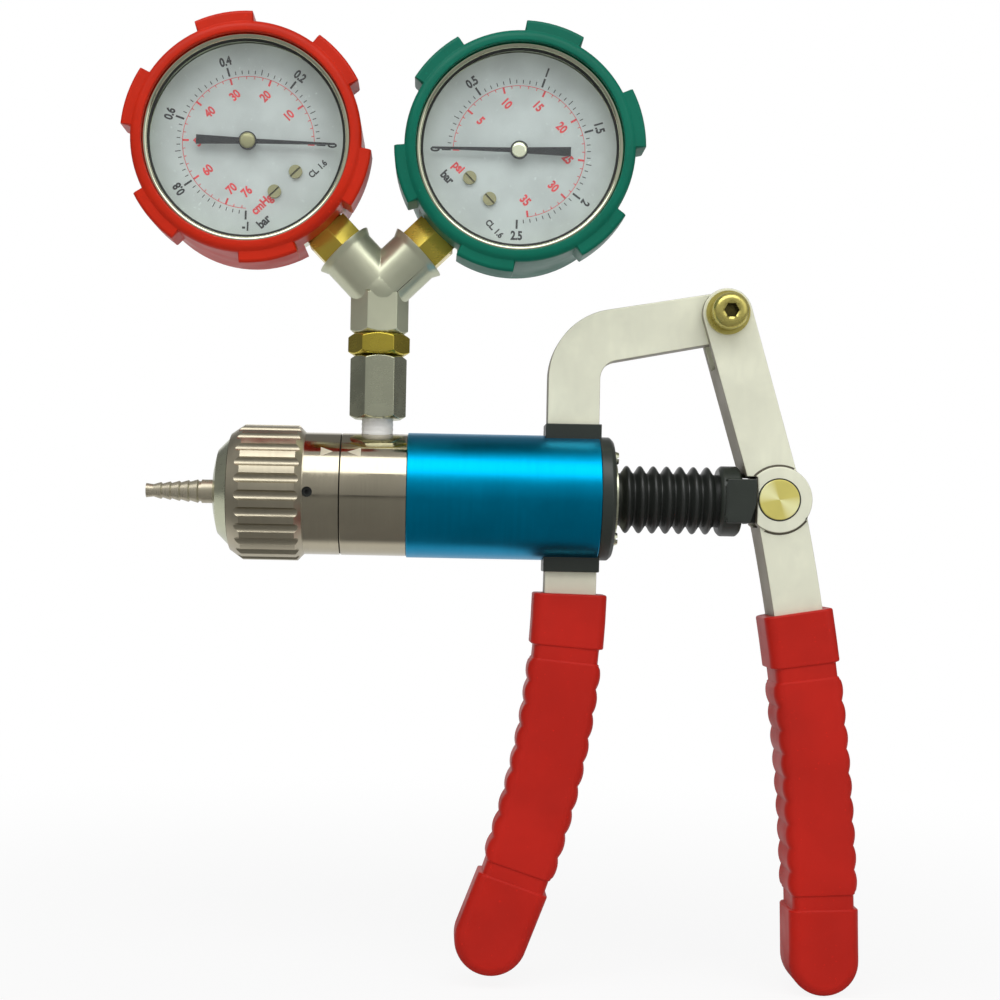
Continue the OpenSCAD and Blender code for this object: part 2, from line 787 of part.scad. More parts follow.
// Black end housing: plug, flange and the two saddles that clamp the handle bar
module end_housing() {
    flange = [
        [0, 0],
        [flange_r, 0],
        [flange_r, flange_len - flange_bevel],
        [flange_r - flange_bevel, flange_len],
        [0, flange_len]
    ];
    color(BLACK) difference() {
        union() {
            along_pump(plug_x0) cylinder(h = plug_len, r = bore_r - seat_gap);
            along_pump(tube_x1) rotate_extrude() polygon(flange);
            translate([saddle_x0, -saddle_t / 2, -saddle_z])
                cube([saddle_x1 - saddle_x0, saddle_t, 2 * saddle_z]);
        }
        translate([bar_x0 - seat_gap, -bar_t / 2 - seat_gap, -saddle_z - cut])
            cube([bar_w + 2 * seat_gap, bar_t + 2 * seat_gap, 2 * (saddle_z + cut)]);
        along_pump(plug_x0 - cut) cylinder(h = plug_len + cut, r = rod_hole_r);
        along_pump(tube_x1) cylinder(h = flange_len + cut, r = rod_hole_r);
        along_pump(flange_x1 - bush_len - seat_gap) cylinder(h = bush_len + 2 * cut, r = bush_r + seat_gap);
        for (y = [-screw_y, screw_y], z = [-screw_z, screw_z])
            translate([0, y, z])
                along_pump(flange_x1 - screw_len - seat_gap)
                    cylinder(h = screw_len + cut, r = screw_r + seat_gap, $fn = 32);
    }
}

// Four pan-head screws in the flange
module housing_screws() {
    color(STEEL) for (y = [-screw_y, screw_y], z = [-screw_z, screw_z])
        translate([0, y, z]) {
            along_pump(flange_x1 - screw_len) cylinder(h = screw_len, r = screw_r, $fn = 32);
            along_pump(flange_x1) difference() {
                cylinder(h = screw_head_h, r1 = screw_head_r, r2 = screw_head_r - 0.5, $fn = 48);
                translate([-screw_head_r, -0.25, screw_head_h - 0.6]) cube([2 * screw_head_r, 0.5, 1]);
                translate([-0.25, -screw_head_r, screw_head_h - 0.6]) cube([0.5, 2 * screw_head_r, 1]);
            }
        }
}

// Bush that guides the rod in the flange
module rod_bush() {
    color(BRASS) along_pump(flange_x1 - bush_len) ring(bush_r, rod_r + shaft_gap, bush_len);
}

// Washer between flange and bellows
module bellows_retainer() {
    color(STEEL) along_pump(flange_x1) ring(retainer_r, rod_hole_r, retainer_t);
}

// Folded rubber bellows round the rod
module bellows() {
    steps = bellows_folds * fold_steps;
    outer = [for (i = [0:steps]) [fold_r(i * fold_len / fold_steps), cuff_len + i * fold_len / fold_steps]];
    inner = [for (i = [steps:-1:0]) [outer[i][0] - bellows_wall, outer[i][1]]];
    root_r = bellows_r - bellows_depth;
    ends = [[root_r, bellows_len], [root_r - bellows_wall, bellows_len]];
    start = [[root_r - bellows_wall, 0], [root_r, 0]];
    color(BLACK) along_pump(retainer_x1)
        rotate_extrude() polygon(concat(start, outer, ends, inner));
}

// Spring that pushes the lever open, one tube along a helix
module return_spring() {
    rings = spring_turns * spring_rings;
    points = [for (i = [0:rings]) for (p = spring_ring(i)) p];
    sides = [
        for (i = [0:rings - 1])
            for (k = [0:spring_sides - 1])
                let (
                    a = i * spring_sides + k,
                    b = i * spring_sides + (k + 1) % spring_sides
                )
                    each [[a, b, b + spring_sides], [a, b + spring_sides, a + spring_sides]]
    ];
    first = [for (k = [1:spring_sides - 2]) [0, k + 1, k]];
    base = rings * spring_sides;
    last = [for (k = [1:spring_sides - 2]) [base, base + k, base + k + 1]];
    color(STEEL) polyhedron(points = points, faces = concat(sides, first, last));
}

// Piston on the rod, with its seal groove
module piston() {
    color(STEEL) difference() {
        along_pump(piston_x0) cylinder(h = piston_len, r = bore_r - shaft_gap);
        along_pump(piston_x0 + piston_len / 2 - oring_r - seat_gap)
            ring(bore_r + cut, bore_r - shaft_gap - 2 * oring_r - seat_gap, 2 * (oring_r + seat_gap));
        along_pump(piston_x0 + 2) cylinder(h = piston_len, r = rod_r + seat_gap);
    }
}

// Seal of the piston
module piston_seal() {
    color(BLACK) along_pump(piston_x0 + piston_len / 2) oring(bore_r - shaft_gap - oring_r, oring_r);
}

// Rod from the piston to the rod end
module piston_rod() {
    color(STEEL) along_pump(piston_x0 + 2 + seat_gap)
        cylinder(h = bellows_x1 + rod_sink - piston_x0 - 2 - 2 * seat_gap, r = rod_r);
}

// Rod end: seat for the bellows, collar, neck and the slotted tongue inside the lever
module rod_end() {
    collar_bevel = 1;
    // The neck is sloped below, where the lever's notch swings past it
    neck_x0 = bellows_x1 + neck_inset;
    neck_x1 = pin_x - neck_gap;
    neck = [
        [neck_x0, -neck_r],
        [neck_x1 - neck_slope, -neck_r],
        [neck_x1, neck_turn_z],
        [neck_x1, neck_r],
        [neck_x0, neck_r]
    ];
    flat_cut = 0.5;
    color(BLACK) difference() {
        union() {
            along_pump(bellows_x1 - seat_len) cylinder(h = seat_len + cut, r = seat_r);
            along_pump(bellows_x1) {
                cylinder(h = collar_bevel, r1 = collar_r - collar_bevel, r2 = collar_r);
                translate([0, 0, collar_bevel]) cylinder(h = collar_len - 2 * collar_bevel, r = collar_r);
                translate([0, 0, collar_len - collar_bevel])
                    cylinder(h = collar_bevel, r1 = collar_r, r2 = collar_r - collar_bevel);
            }
            translate([0, neck_w / 2 + flat_cut, 0])
                upright() linear_extrude(neck_w + 2 * flat_cut) polygon(neck);
            translate([collar_x1, -tongue_t / 2, -tongue_r])
                cube([pin_x - collar_x1, tongue_t, 2 * tongue_r]);
            translate([pin_x, tongue_t / 2, 0]) upright() cylinder(h = tongue_t, r = tongue_r);
        }
        along_pump(bellows_x1 - seat_len - cut)
            cylinder(h = seat_len + cut + rod_sink, r = rod_r + seat_gap);
        for (side = [-1, 1])
            translate([neck_x0 - flat_cut, side * (neck_w / 2 + collar_r) - collar_r, -2 * collar_r])
                cube([pin_x - neck_x0, 2 * collar_r, 4 * collar_r]);
        translate([pin_x - slot_r, -tongue_t / 2 - cut, pin_low])
            cube([2 * slot_r, tongue_t + 2 * cut, pin_z - pin_low]);
        for (z = [pin_low, pin_z])
            translate([pin_x, tongue_t / 2 + cut, z]) upright() cylinder(h = tongue_t + 2 * cut, r = slot_r);
    }
}

// Flat bar bent into the upper arm and the curved lower handle
module fixed_handle() {
    half = bar_w / 2;
    low = [bar_x - bend_r, bend_z];
    low_deg = -arc_deg(fixed_grip_drop + fixed_bar_stop, bend_r);
    outline = concat(
        bend(low, bend_r + half, low_deg, 0),
        bend(corner, corner_r - half, 180, 90 + arm_rise),
        [pivot - arm_normal * (eye_r + arm_drop), pivot + arm_normal * (eye_r - arm_drop)],
        bend(corner, corner_r + half, 90 + arm_rise, 180),
        bend(low, bend_r - half, 0, low_deg)
    );
    color(SATIN) difference() {
        upright() difference() {
            translate([0, 0, -bar_t / 2]) union() {
                linear_extrude(bar_t) polygon(outline);
                translate(pivot) cylinder(h = bar_t, r = eye_r);
            }
            translate([pivot[0], pivot[1], -bar_t]) cylinder(h = 2 * bar_t, r = pivot_bush_r + seat_gap);
        }
        along_pump(bar_x0 - cut) cylinder(h = bar_w + 2 * cut, r = rod_hole_r);
    }
}

// Bearing of the lever's pivot bolt
module pivot_bush() {
    color(BRASS) upright()
        translate([pivot[0], pivot[1], -bar_t / 2]) ring(pivot_bush_r, bolt_r + shaft_gap, bar_t);
}

// Sleeve of a grip between two places along its bar, drawn about the middle of the bar's circle
module sleeve(radius, w, t, from_len, to_len) {
    rotate([0, 0, -arc_deg(to_len, radius)])
        rotate_extrude(angle = arc_deg(to_len - from_len, radius))
            translate([radius, 0]) polygon(round_rect(w, t, grip_round));
}

// Grip along a circular bar: band, groove, finger ridges, groove and a rounded end.
// The sleeve starts at angle 0 and runs clockwise.
module grip(radius, grip_w, t, grip_len, bar_w, bar_t, bar_stop) {
    end_at = grip_len - grip_w / 2;
    slim_w = grip_w - 2 * groove_depth;
    slim_t = t - 2 * groove_front;
    half_end = [for (p = round_rect(grip_w, t, grip_round)) if (p[0] > 0) p];
    difference() {
        union() {
            sleeve(radius, grip_w, t, 0, band_len);
            sleeve(radius, slim_w, slim_t, band_len - cut, end_at);
            sleeve(radius, grip_w - 2 * ridge_rise, t, ridge_start, ridge_end);
            intersection() {
                sleeve(radius, grip_w + ridge_room, t, ridge_start, ridge_end);
                for (i = [0:ridge_count - 1], side = [-1, 1])
                    rotate([0, 0, -arc_deg(ridge_start + (i + 0.5) * ridge_pitch, radius)])
                        translate([radius + side * (grip_w / 2 - bump_r), 0, -t])
                            cylinder(h = 2 * t, r = bump_r);
            }
            sleeve(radius, grip_w, t, ridge_end + groove_len, end_at);
            rotate([0, 0, -arc_deg(end_at, radius)])
                translate([radius, 0, 0])
                    rotate_extrude()
                        polygon(concat([[0, -t / 2]], half_end_points(half_end), [[0, t / 2]]));
        }
        arc_bar(
            radius,
            bar_w + 2 * seat_gap,
            bar_t + 2 * seat_gap,
            -arc_deg(bar_stop + seat_gap, radius),
            arc_deg(cut, radius)
        );
    }
}

// The right half of a rounded rectangle, from its lower to its upper edge
function half_end_points(points) = [
    for (i = [0:len(points) - 1])
        points[(i + len(points) / 2) % len(points)]
];

// Red grip of the fixed handle
module fixed_grip() {
    color(RED) upright()
        translate([bar_x - bend_r, bend_z, 0])
            rotate([0, 0, -arc_deg(fixed_grip_drop, bend_r)])
                grip(bend_r, fixed_grip_w, fixed_grip_t, fixed_grip_len, bar_w, bar_t, fixed_bar_stop);
}

// Lever: fork at the pivot, boss at the rod pin and the curved lower arm
module lever() {
    across = [cos(lever_lean), sin(lever_lean)];
    lower = pin - lower_r * [cos(lower_lean), sin(lower_lean)];
    low_deg = lower_lean - arc_deg(lever_grip_drop + lever_bar_stop, lower_r);
    outline = concat(
        [pivot - across * lever_top_w / 2, pivot + across * lever_top_w / 2],
        bend(lower, lower_r + lever_w / 2, lower_lean, low_deg),
        bend(lower, lower_r - lever_w / 2, low_deg, lower_lean)
    );
    wide = 2 * boss_r;
    color(SATIN) upright() difference() {
        union() {
            translate([pivot[0], pivot[1], -lever_t / 2]) cylinder(h = lever_t, r = lever_top_w / 2);
            translate([0, 0, -lever_t / 2]) linear_extrude(lever_t) polygon(outline);
            translate([pin[0], pin[1], -boss_t / 2]) cylinder(h = boss_t, r = boss_r);
        }
        translate(pivot) {
            rotate([0, 0, lever_lean])
                translate([-wide, -fork_depth, -fork_w / 2]) cube([2 * wide, fork_depth + wide, fork_w]);
            translate([0, 0, -boss_t]) cylinder(h = 2 * boss_t, r = bolt_r + seat_gap);
        }
        translate(pin) {
            translate([0, 0, -pocket_w / 2]) cylinder(h = pocket_w, r = pocket_r);
            translate([-wide, notch_low, -pocket_w / 2]) cube([wide, pocket_top - notch_low, pocket_w]);
            translate([-wide, notch_low, -boss_t])
                cube([wide - notch_gap, notch_top - notch_low, 2 * boss_t]);
            translate([0, 0, -boss_t]) cylinder(h = 2 * boss_t, r = pin_r + seat_gap);
            for (side = [0, 1])
                mirror([0, 0, side])
                    translate([0, 0, boss_t / 2 - head_sink - seat_gap])
                        cylinder(h = pin_head_t + cut, r = pin_head_r + seat_gap);
        }
    }
}

// Red grip of the lever
module lever_grip() {
    lower = pin - lower_r * [cos(lower_lean), sin(lower_lean)];
    color(RED) upright()
        translate(lower)
            rotate([0, 0, lower_lean - arc_deg(lever_grip_drop, lower_r)])
                grip(lower_r, lever_grip_w, lever_grip_t, lever_grip_len, lever_w, lever_t, lever_bar_stop);
}

// Brass pin between lever and rod end, with a flat head at each end
module rod_pin() {
    reach = boss_t / 2 - head_sink;
    color(BRASS) upright() translate(pin) {
        translate([0, 0, -reach]) cylinder(h = 2 * reach, r = pin_r);
        for (side = [0, 1])
            mirror([0, 0, side]) translate([0, 0, reach]) cylinder(h = pin_head_t, r = pin_head_r);
    }
}

// Socket-head bolt that the lever turns on
module pivot_bolt() {
    seat = lever_t / 2 + washer_t;
    color(BRASS) upright() translate(pivot) difference() {
        union() {
            translate([0, 0, -seat - pivot_nut_h - bolt_past])
                cylinder(h = 2 * seat + pivot_nut_h + bolt_past, r = bolt_r);
            translate([0, 0, seat]) cylinder(h = bolt_head_h - 0.8, r = bolt_head_r);
            translate([0, 0, seat + bolt_head_h - 0.8])
                cylinder(h = 0.8, r1 = bolt_head_r, r2 = bolt_head_r - 0.8);
        }
        translate([0, 0, seat + bolt_head_h - socket_depth]) hexagon(socket_af, socket_depth + cut);
    }
}

// Washers under the bolt's head and under its nut
module pivot_washers() {
    color(BRASS) upright() translate(pivot) {
        translate([0, 0, lever_t / 2]) ring(washer_r, bolt_r + seat_gap, washer_t);
        translate([0, 0, -lever_t / 2 - washer_t]) ring(washer_r, bolt_r + seat_gap, washer_t);
    }
}

// Nut at the back of the pivot bolt
module pivot_nut() {
    color(BRASS) upright()
        translate([pivot[0], pivot[1], -lever_t / 2 - washer_t - pivot_nut_h])
            difference() {
                hexagon(pivot_nut_af, pivot_nut_h);
                translate([0, 0, -cut]) cylinder(h = pivot_nut_h + 2 * cut, r = bolt_r + seat_gap);
            }
}

// Tape round the thread of the gauge adapter
module thread_seal() {
    color(WHITE) translate([port_x, 0, port_floor + cut])
        ring(port_r - seat_gap, port_r - seat_gap - seal_t, seal_z1 - port_floor - cut);
}

// Long hexagon between valve body and lock nut, with a thread at each end
module gauge_adapter() {
    stud_r = port_r - 2 * seat_gap - seal_t;
    color(STEEL) translate([port_x, 0, 0]) difference() {
        union() {
            translate([0, 0, port_floor + seat_gap]) cylinder(h = seal_z1 - port_floor, r = stud_r);
            translate([0, 0, seal_z1]) rotate([0, 0, adapter_turn])
                turned_hexagon(adapter_af, adapter_len, true, true);
            translate([0, 0, adapter_z1 - cut]) cylinder(h = nut_len + thread_reach + cut, r = thread_r);
        }
        cylinder(h = 2 * branch_z, r = air_r);
    }
}

// Brass nut that locks the Y fitting
module lock_nut() {
    color(BRASS) translate([port_x, 0, adapter_z1]) difference() {
        turned_hexagon(nut_af, nut_len, true, true);
        translate([0, 0, -cut]) cylinder(h = nut_len + 2 * cut, r = thread_r + seat_gap);
    }
}

// Y fitting: hexagon below, two round arms above
module y_fitting() {
    lip = 1.2;
    ball_r = wye_r + 0.2;
    // The three passages end inside a drilled pocket where they meet, clear of each other
    meet = wye_bore_r + 0.5;
    pocket = norm([meet, wye_bore_r]) + 0.1;
    color(STEEL) translate([port_x, 0, 0]) difference() {
        union() {
            translate([0, 0, nut_z1]) rotate([0, 0, wye_turn])
                turned_hexagon(wye_af, wye_hex_len, true, false);
            translate([0, 0, wye_z1 - lip]) cylinder(h = wye_rise + lip, r = wye_af / 2 - seat_gap);
            translate([0, 0, branch_z]) sphere(r = ball_r);
            for (side = [-1, 1])
                translate([0, 0, branch_z]) rotate([0, side * lean(side), 0]) {
                    cylinder(h = wye_arm - lip, r = wye_r);
                    translate([0, 0, wye_arm - 2 * lip]) cylinder(h = 2 * lip, r1 = wye_r, r2 = wye_r + lip);
                }
        }
        translate([0, 0, nut_z1 - cut]) cylinder(h = thread_reach + seat_gap + cut, r = thread_r + seat_gap);
        translate([0, 0, nut_z1]) cylinder(h = branch_z - meet - nut_z1, r = wye_bore_r);
        translate([0, 0, branch_z]) sphere(r = pocket);
        for (side = [-1, 1])
            translate([0, 0, branch_z]) rotate([0, side * lean(side), 0]) {
                translate([0, 0, meet]) cylinder(h = wye_arm - meet, r = wye_bore_r);
                translate([0, 0, wye_arm - stem_thread - seat_gap])
                    cylinder(h = stem_thread + cut, r = stem_r + seat_gap);
            }
    }
}

// Rubber boot round a gauge: a lipped ring with lobes, open at the stem
module gauge_boot(lobe_turn) {
    profile = [
        [boot_back_r, -boot_back],
        [boot_r - boot_bevel, -boot_back],
        [boot_r, -boot_back + boot_bevel],
        [boot_r, boot_front - boot_bevel],
        [boot_r - boot_bevel, boot_front],
        [boot_open_r, boot_front],
        [boot_open_r, bezel_front + seat_gap],
        [case_r + seat_gap, bezel_front + seat_gap],
        [case_r + seat_gap, -case_back - seat_gap],
        [boot_back_r, -case_back - seat_gap]
    ];
    lobe = [
        [boot_r - boot_bevel, lobe_z0],
        [lobe_r - lobe_bevel, lobe_z0],
        [lobe_r, lobe_z0 + lobe_bevel],
        [lobe_r, boot_front - 2 * lobe_bevel],
        [lobe_r - lobe_bevel, boot_front - lobe_bevel],
        [boot_r - boot_bevel, boot_front - lobe_bevel]
    ];
    notch_w = hex_r(stem_af) + run_gap;
    difference() {
        union() {
            rotate_extrude() polygon(profile);
            for (a = [0:60:300])
                rotate([0, 0, a + lobe_turn - lobe_deg / 2]) rotate_extrude(angle = lobe_deg) polygon(lobe);
        }
        translate([-notch_w, -boot_r - cut, -boot_back - cut])
            cube([2 * notch_w, boot_r / 2, boot_back + cut + notch_w]);
    }
}

// Cup-shaped case with a ledge for the dial and a step for the window
module gauge_case() {
    floor_t = case_wall;
    profile = [
        [0, -case_back],
        [case_r - case_bevel, -case_back],
        [case_r, -case_back + case_bevel],
        [case_r, case_front],
        [window_r + seat_gap, case_front],
        [window_r + seat_gap, window_back],
        [case_in_r, window_back],
        [case_in_r, dial_back],
        [case_in_r - ledge_w, dial_back],
        [case_in_r - ledge_w, dial_back - ledge_t],
        [case_in_r, dial_back - ledge_t - ledge_w],
        [case_in_r, -case_back + floor_t],
        [0, -case_back + floor_t]
    ];
    color(STEEL) difference() {
        rotate_extrude() polygon(profile);
        rotate([90, 0, 0]) cylinder(h = case_r + cut, r = neck_stem_r + seat_gap);
    }
}

// Bezel ring that holds the window down
module gauge_bezel() {
    rim = case_front + window_t + window_back - case_front;
    profile = [
        [case_r - bezel_w, rim],
        [window_r + seat_gap, rim],
        [window_r + seat_gap, case_front],
        [case_r, case_front],
        [case_r, bezel_front - bezel_bevel],
        [case_r - bezel_bevel, bezel_front],
        [case_r - bezel_w + 0.4, bezel_front]
    ];
    color(STEEL) rotate_extrude() polygon(profile);
}

// Clear window
module gauge_window() {
    color(CLEAR) translate([0, 0, window_back]) cylinder(h = window_t, r = window_r);
}

// Places of the two dial screws
function dial_screw_at(side) = dial_screw_reach * [side * sin(dial_screw_angle), -cos(dial_screw_angle)];

// Dial plate
module gauge_dial() {
    color(WHITE) difference() {
        translate([0, 0, dial_back]) cylinder(h = dial_t, r = dial_r);
        translate([0, 0, dial_back - cut]) cylinder(h = dial_t + 2 * cut, r = arbor_r + run_gap);
        for (side = [-1, 1])
            translate(dial_screw_at(side))
                translate([0, 0, dial_back - cut])
                    cylinder(h = dial_t + 2 * cut, r = dial_screw_r + seat_gap, $fn = 32);
    }
}

// Screws that hold the dial to the stem's block
module gauge_dial_screws() {
    color(STEEL) for (side = [-1, 1])
        translate(dial_screw_at(side)) {
            translate([0, 0, dial_front - dial_screw_len])
                cylinder(h = dial_screw_len, r = dial_screw_r, $fn = 32);
            difference() {
                translate([0, 0, dial_front]) cylinder(h = dial_head_h, r = dial_head_r, $fn = 48);
                translate([-dial_head_r, -0.25, dial_front + dial_head_h / 2])
                    cube([2 * dial_head_r, 0.5, 1]);
            }
        }
}

// Brass stem: thread, hexagon, neck through the case and the block that carries the movement
module gauge_stem() {
    color(BRASS) difference() {
        union() {
            rotate([90, 0, 0]) {
                translate([0, 0, stem_reach - cut]) cylinder(h = stem_thread + cut, r = stem_r);
                translate([0, 0, stem_reach - hex_len]) rotate([0, 0, 30]) hexagon(stem_af, hex_len);
                translate([0, 0, -block_y0 - cut])
                    cylinder(h = stem_reach - hex_len + block_y0 + 2 * cut, r = neck_stem_r);
            }
            translate([-block_w / 2, block_y0, -block_back])
                cube([block_w, block_y1 - block_y0, block_back + dial_back]);
        }
        translate([0, block_y0 / 2 + block_y1 / 2, 0])
            rotate([90, 0, 0]) cylinder(h = stem_reach + stem_thread, r = air_r);
        for (side = [-1, 1])
            translate(dial_screw_at(side))
                translate([0, 0, dial_front - dial_screw_len - seat_gap])
                    cylinder(h = dial_screw_len + cut, r = dial_screw_r + seat_gap, $fn = 32);
    }
}

// Curved tube that unbends with pressure, closed at its round tip under the link
module gauge_bourdon_tube() {
    tip = tube_mean_r * [cos(bourdon_tip), sin(bourdon_tip)];
    inner_r = tube_mean_r - bourdon_w / 2;
    root = -acos((block_w / 2 + seat_gap) / inner_r);
    closed = bourdon_tip - 8;
    wall = 0.5;
    color(BRASS) {
        difference() {
            rotate([0, 0, root])
                rotate_extrude(angle = bourdon_tip - root)
                    translate([inner_r, -bourdon_back]) square([bourdon_w, bourdon_h]);
            rotate([0, 0, root - arc_deg(cut, inner_r)])
                rotate_extrude(angle = closed - root + arc_deg(cut, inner_r))
                    translate([inner_r + wall, wall - bourdon_back])
                        square([bourdon_w - 2 * wall, bourdon_h - 2 * wall]);
        }
        translate([tip[0], tip[1], wall - bourdon_back])
            cylinder(h = bourdon_h - 2 * wall, r = bourdon_w / 2 + 0.4);
    }
}

// Two plates on posts that carry the arbor and the sector
module gauge_movement() {
    x0 = sector_pivot[0] - 3;
    x1 = 6;
    y1 = 6.5;
    color(BRASS) difference() {
        union() {
            for (z = [plate_back, plate_front])
                translate([x0, block_y1, z]) cube([x1 - x0, y1 - block_y1, plate_t]);
            for (x = [x0 + 1.5, x1 - 1.5])
                translate([x, y1 - 1.5, plate_back])
                    cylinder(h = plate_front - plate_back + plate_t, r = post_r, $fn = 32);
        }
        translate([0, 0, plate_back - cut])
            cylinder(h = plate_front - plate_back + plate_t + 2 * cut, r = arbor_r + shaft_gap);
        translate([sector_pivot[0], sector_pivot[1], plate_back - cut])
            cylinder(h = plate_front - plate_back + plate_t + 2 * cut, r = sector_pin_r + shaft_gap);
    }
}

// Shaft of the pointer with its pinion
module gauge_arbor() {
    root_r = pinion_r - tooth_half - tooth_slack;
    color(STEEL) {
        translate([0, 0, plate_back - 0.4]) cylinder(h = pointer_z + hub_t + 0.4 - plate_back, r = arbor_r);
        translate([0, 0, gear_z - 0.4]) {
            cylinder(h = gear_t + 0.8, r = root_r);
            for (i = [0:pinion_teeth - 1])
                rotate([0, 0, 45 + (i + 0.5) * 360 / pinion_teeth])
                    translate([0, -tooth_w / 2, 0])
                        cube([pinion_r + tooth_half - tooth_slack, tooth_w, gear_t + 0.8]);
        }
    }
}

// Black pointer, at zero
module gauge_pointer(side) {
    blade = [
        [-pointer_tail, -pointer_w / 2],
        [-hub_r, -pointer_w / 3],
        [hub_r, -pointer_w / 4],
        [pointer_tip, -0.25],
        [pointer_tip, 0.25],
        [hub_r, pointer_w / 4],
        [-hub_r, pointer_w / 3],
        [-pointer_tail, pointer_w / 2]
    ];
    color(BLACK) rotate([0, 0, zero_angle(side)]) difference() {
        union() {
            translate([0, 0, pointer_z]) linear_extrude(pointer_t) polygon(blade);
            translate([0, 0, pointer_z]) cylinder(h = hub_t, r = hub_r, $fn = 48);
        }
        translate([0, 0, pointer_z - cut])
            cylinder(h = hub_t + 2 * cut, r = arbor_r + seat_gap / 2, $fn = 48);
    }
}

// Toothed sector that turns the pinion: the mesh travels along its arc from zero to full scale
module gauge_sector(side) {
    teeth_deg = 360 / sector_teeth;
    travel = pointer_travel * pinion_teeth / sector_teeth;
    spare = 2;
    count = ceil(travel / teeth_deg) + 2 * spare;
    first = side == VACUUM ? -spare : spare - count;
    root_r = sector_r - tooth_half - tooth_slack;
    rim_w = 3;
    start_deg = 45 + (first - 0.5) * teeth_deg;
    color(BRASS) translate(sector_pivot) {
        translate([0, 0, plate_back - 0.2])
            cylinder(h = plate_front - plate_back + plate_t + 0.4, r = sector_pin_r, $fn = 32);
        translate([0, 0, gear_z]) {
            cylinder(h = gear_t, r = 2.2, $fn = 48);
            rotate([0, 0, start_deg])
                rotate_extrude(angle = (count + 1) * teeth_deg)
                    translate([root_r - rim_w, 0]) square([rim_w, gear_t]);
            rotate([0, 0, start_deg + (count + 1) * teeth_deg / 2])
                translate([0, -1.5, 0]) cube([root_r - rim_w / 2, 3, gear_t]);
            for (i = [0:count])
                rotate([0, 0, 45 + (first + i) * teeth_deg])
                    translate([root_r - 0.5, -tooth_w / 2, 0])
                        cube([0.5 + 2 * tooth_half, tooth_w, gear_t]);
            rotate([0, 0, 225]) translate([0, -1.2, 0]) cube([tail_len, 2.4, gear_t]);
            rotate([0, 0, 225]) translate([tail_len, 0, 0]) cylinder(h = gear_t, r = 1.2, $fn = 32);
        }
    }
}

// Link between the sector's tail and the tip of the curved tube
module gauge_link() {
    tail = sector_pivot + tail_len * [cos(225), sin(225)];
    tip = tube_mean_r * [cos(bourdon_tip), sin(bourdon_tip)];
    along = atan2(tip[1] - tail[1], tip[0] - tail[0]);
    link_z = gear_z + gear_t;
    color(STEEL) translate([tail[0], tail[1], link_z]) {
        rotate([0, 0, along])
            translate([0, -0.8, 0]) cube([norm(tip - tail), 1.6, 0.6]);
        cylinder(h = 0.6, r = 1.2, $fn = 32);
        rotate([0, 0, along]) translate([norm(tip - tail), 0, 0]) cylinder(h = 0.6, r = 1.2, $fn = 32);
    }
}

// Least gap between neighbouring turns of the return spring, on the points of its rings
spring_points = [for (i = [0:2 * spring_rings]) spring_ring(i)];
spring_gap = min([
    for (i = [0:spring_rings])
        for (p = spring_points[i])
            for (q = spring_points[i + spring_rings])
                norm(p - q)
]);
echo(spring_gap = spring_gap);

hose_barb();
nose_cone();
valve_body();
valve_spindle();
spindle_orings();
check_valves();
selector_ring();
stop_screw();
cylinder_tube();
tube_oring();
end_housing();
housing_screws();
rod_bush();
bellows_retainer();
fixed_handle();
fixed_grip();
pivot_bush();
bellows();
return_spring();
piston();
piston_seal();
piston_rod();
rod_end();
lever();
lever_grip();
rod_pin();
pivot_bolt();
pivot_washers();
pivot_nut();
thread_seal();
gauge_adapter();
lock_nut();
y_fitting();
color(BOOT_RED) on_gauge(VACUUM) gauge_boot(vacuum_lobe_turn);  // vacuum_boot
on_gauge(VACUUM) gauge_case();  // vacuum_case
on_gauge(VACUUM) gauge_bezel();  // vacuum_bezel
on_gauge(VACUUM) gauge_window();  // vacuum_window
on_gauge(VACUUM) gauge_dial();  // vacuum_dial
on_gauge(VACUUM) gauge_dial_screws();  // vacuum_dial_screws
on_gauge(VACUUM) gauge_stem();  // vacuum_stem
on_gauge(VACUUM) gauge_bourdon_tube();  // vacuum_bourdon_tube
on_gauge(VACUUM) gauge_movement();  // vacuum_movement
on_gauge(VACUUM) gauge_arbor();  // vacuum_arbor
on_gauge(VACUUM) gauge_pointer(VACUUM);  // vacuum_pointer
on_gauge(VACUUM) gauge_sector(VACUUM);  // vacuum_sector
on_gauge(VACUUM) gauge_link();  // vacuum_link
color(BOOT_GREEN) on_gauge(PRESSURE) gauge_boot(0);  // pressure_boot
on_gauge(PRESSURE) gauge_case();  // pressure_case
on_gauge(PRESSURE) gauge_bezel();  // pressure_bezel
on_gauge(PRESSURE) gauge_window();  // pressure_window
on_gauge(PRESSURE) gauge_dial();  // pressure_dial
on_gauge(PRESSURE) gauge_dial_screws();  // pressure_dial_screws
on_gauge(PRESSURE) gauge_stem();  // pressure_stem
on_gauge(PRESSURE) gauge_bourdon_tube();  // pressure_bourdon_tube
on_gauge(PRESSURE) gauge_movement();  // pressure_movement
on_gauge(PRESSURE) gauge_arbor();  // pressure_arbor
on_gauge(PRESSURE) gauge_pointer(PRESSURE);  // pressure_pointer
on_gauge(PRESSURE) gauge_sector(PRESSURE);  // pressure_sector
on_gauge(PRESSURE) gauge_link();  // pressure_link
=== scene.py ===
import math

import bmesh
import bpy
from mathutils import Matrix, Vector
from mathutils.bvhtree import BVHTree


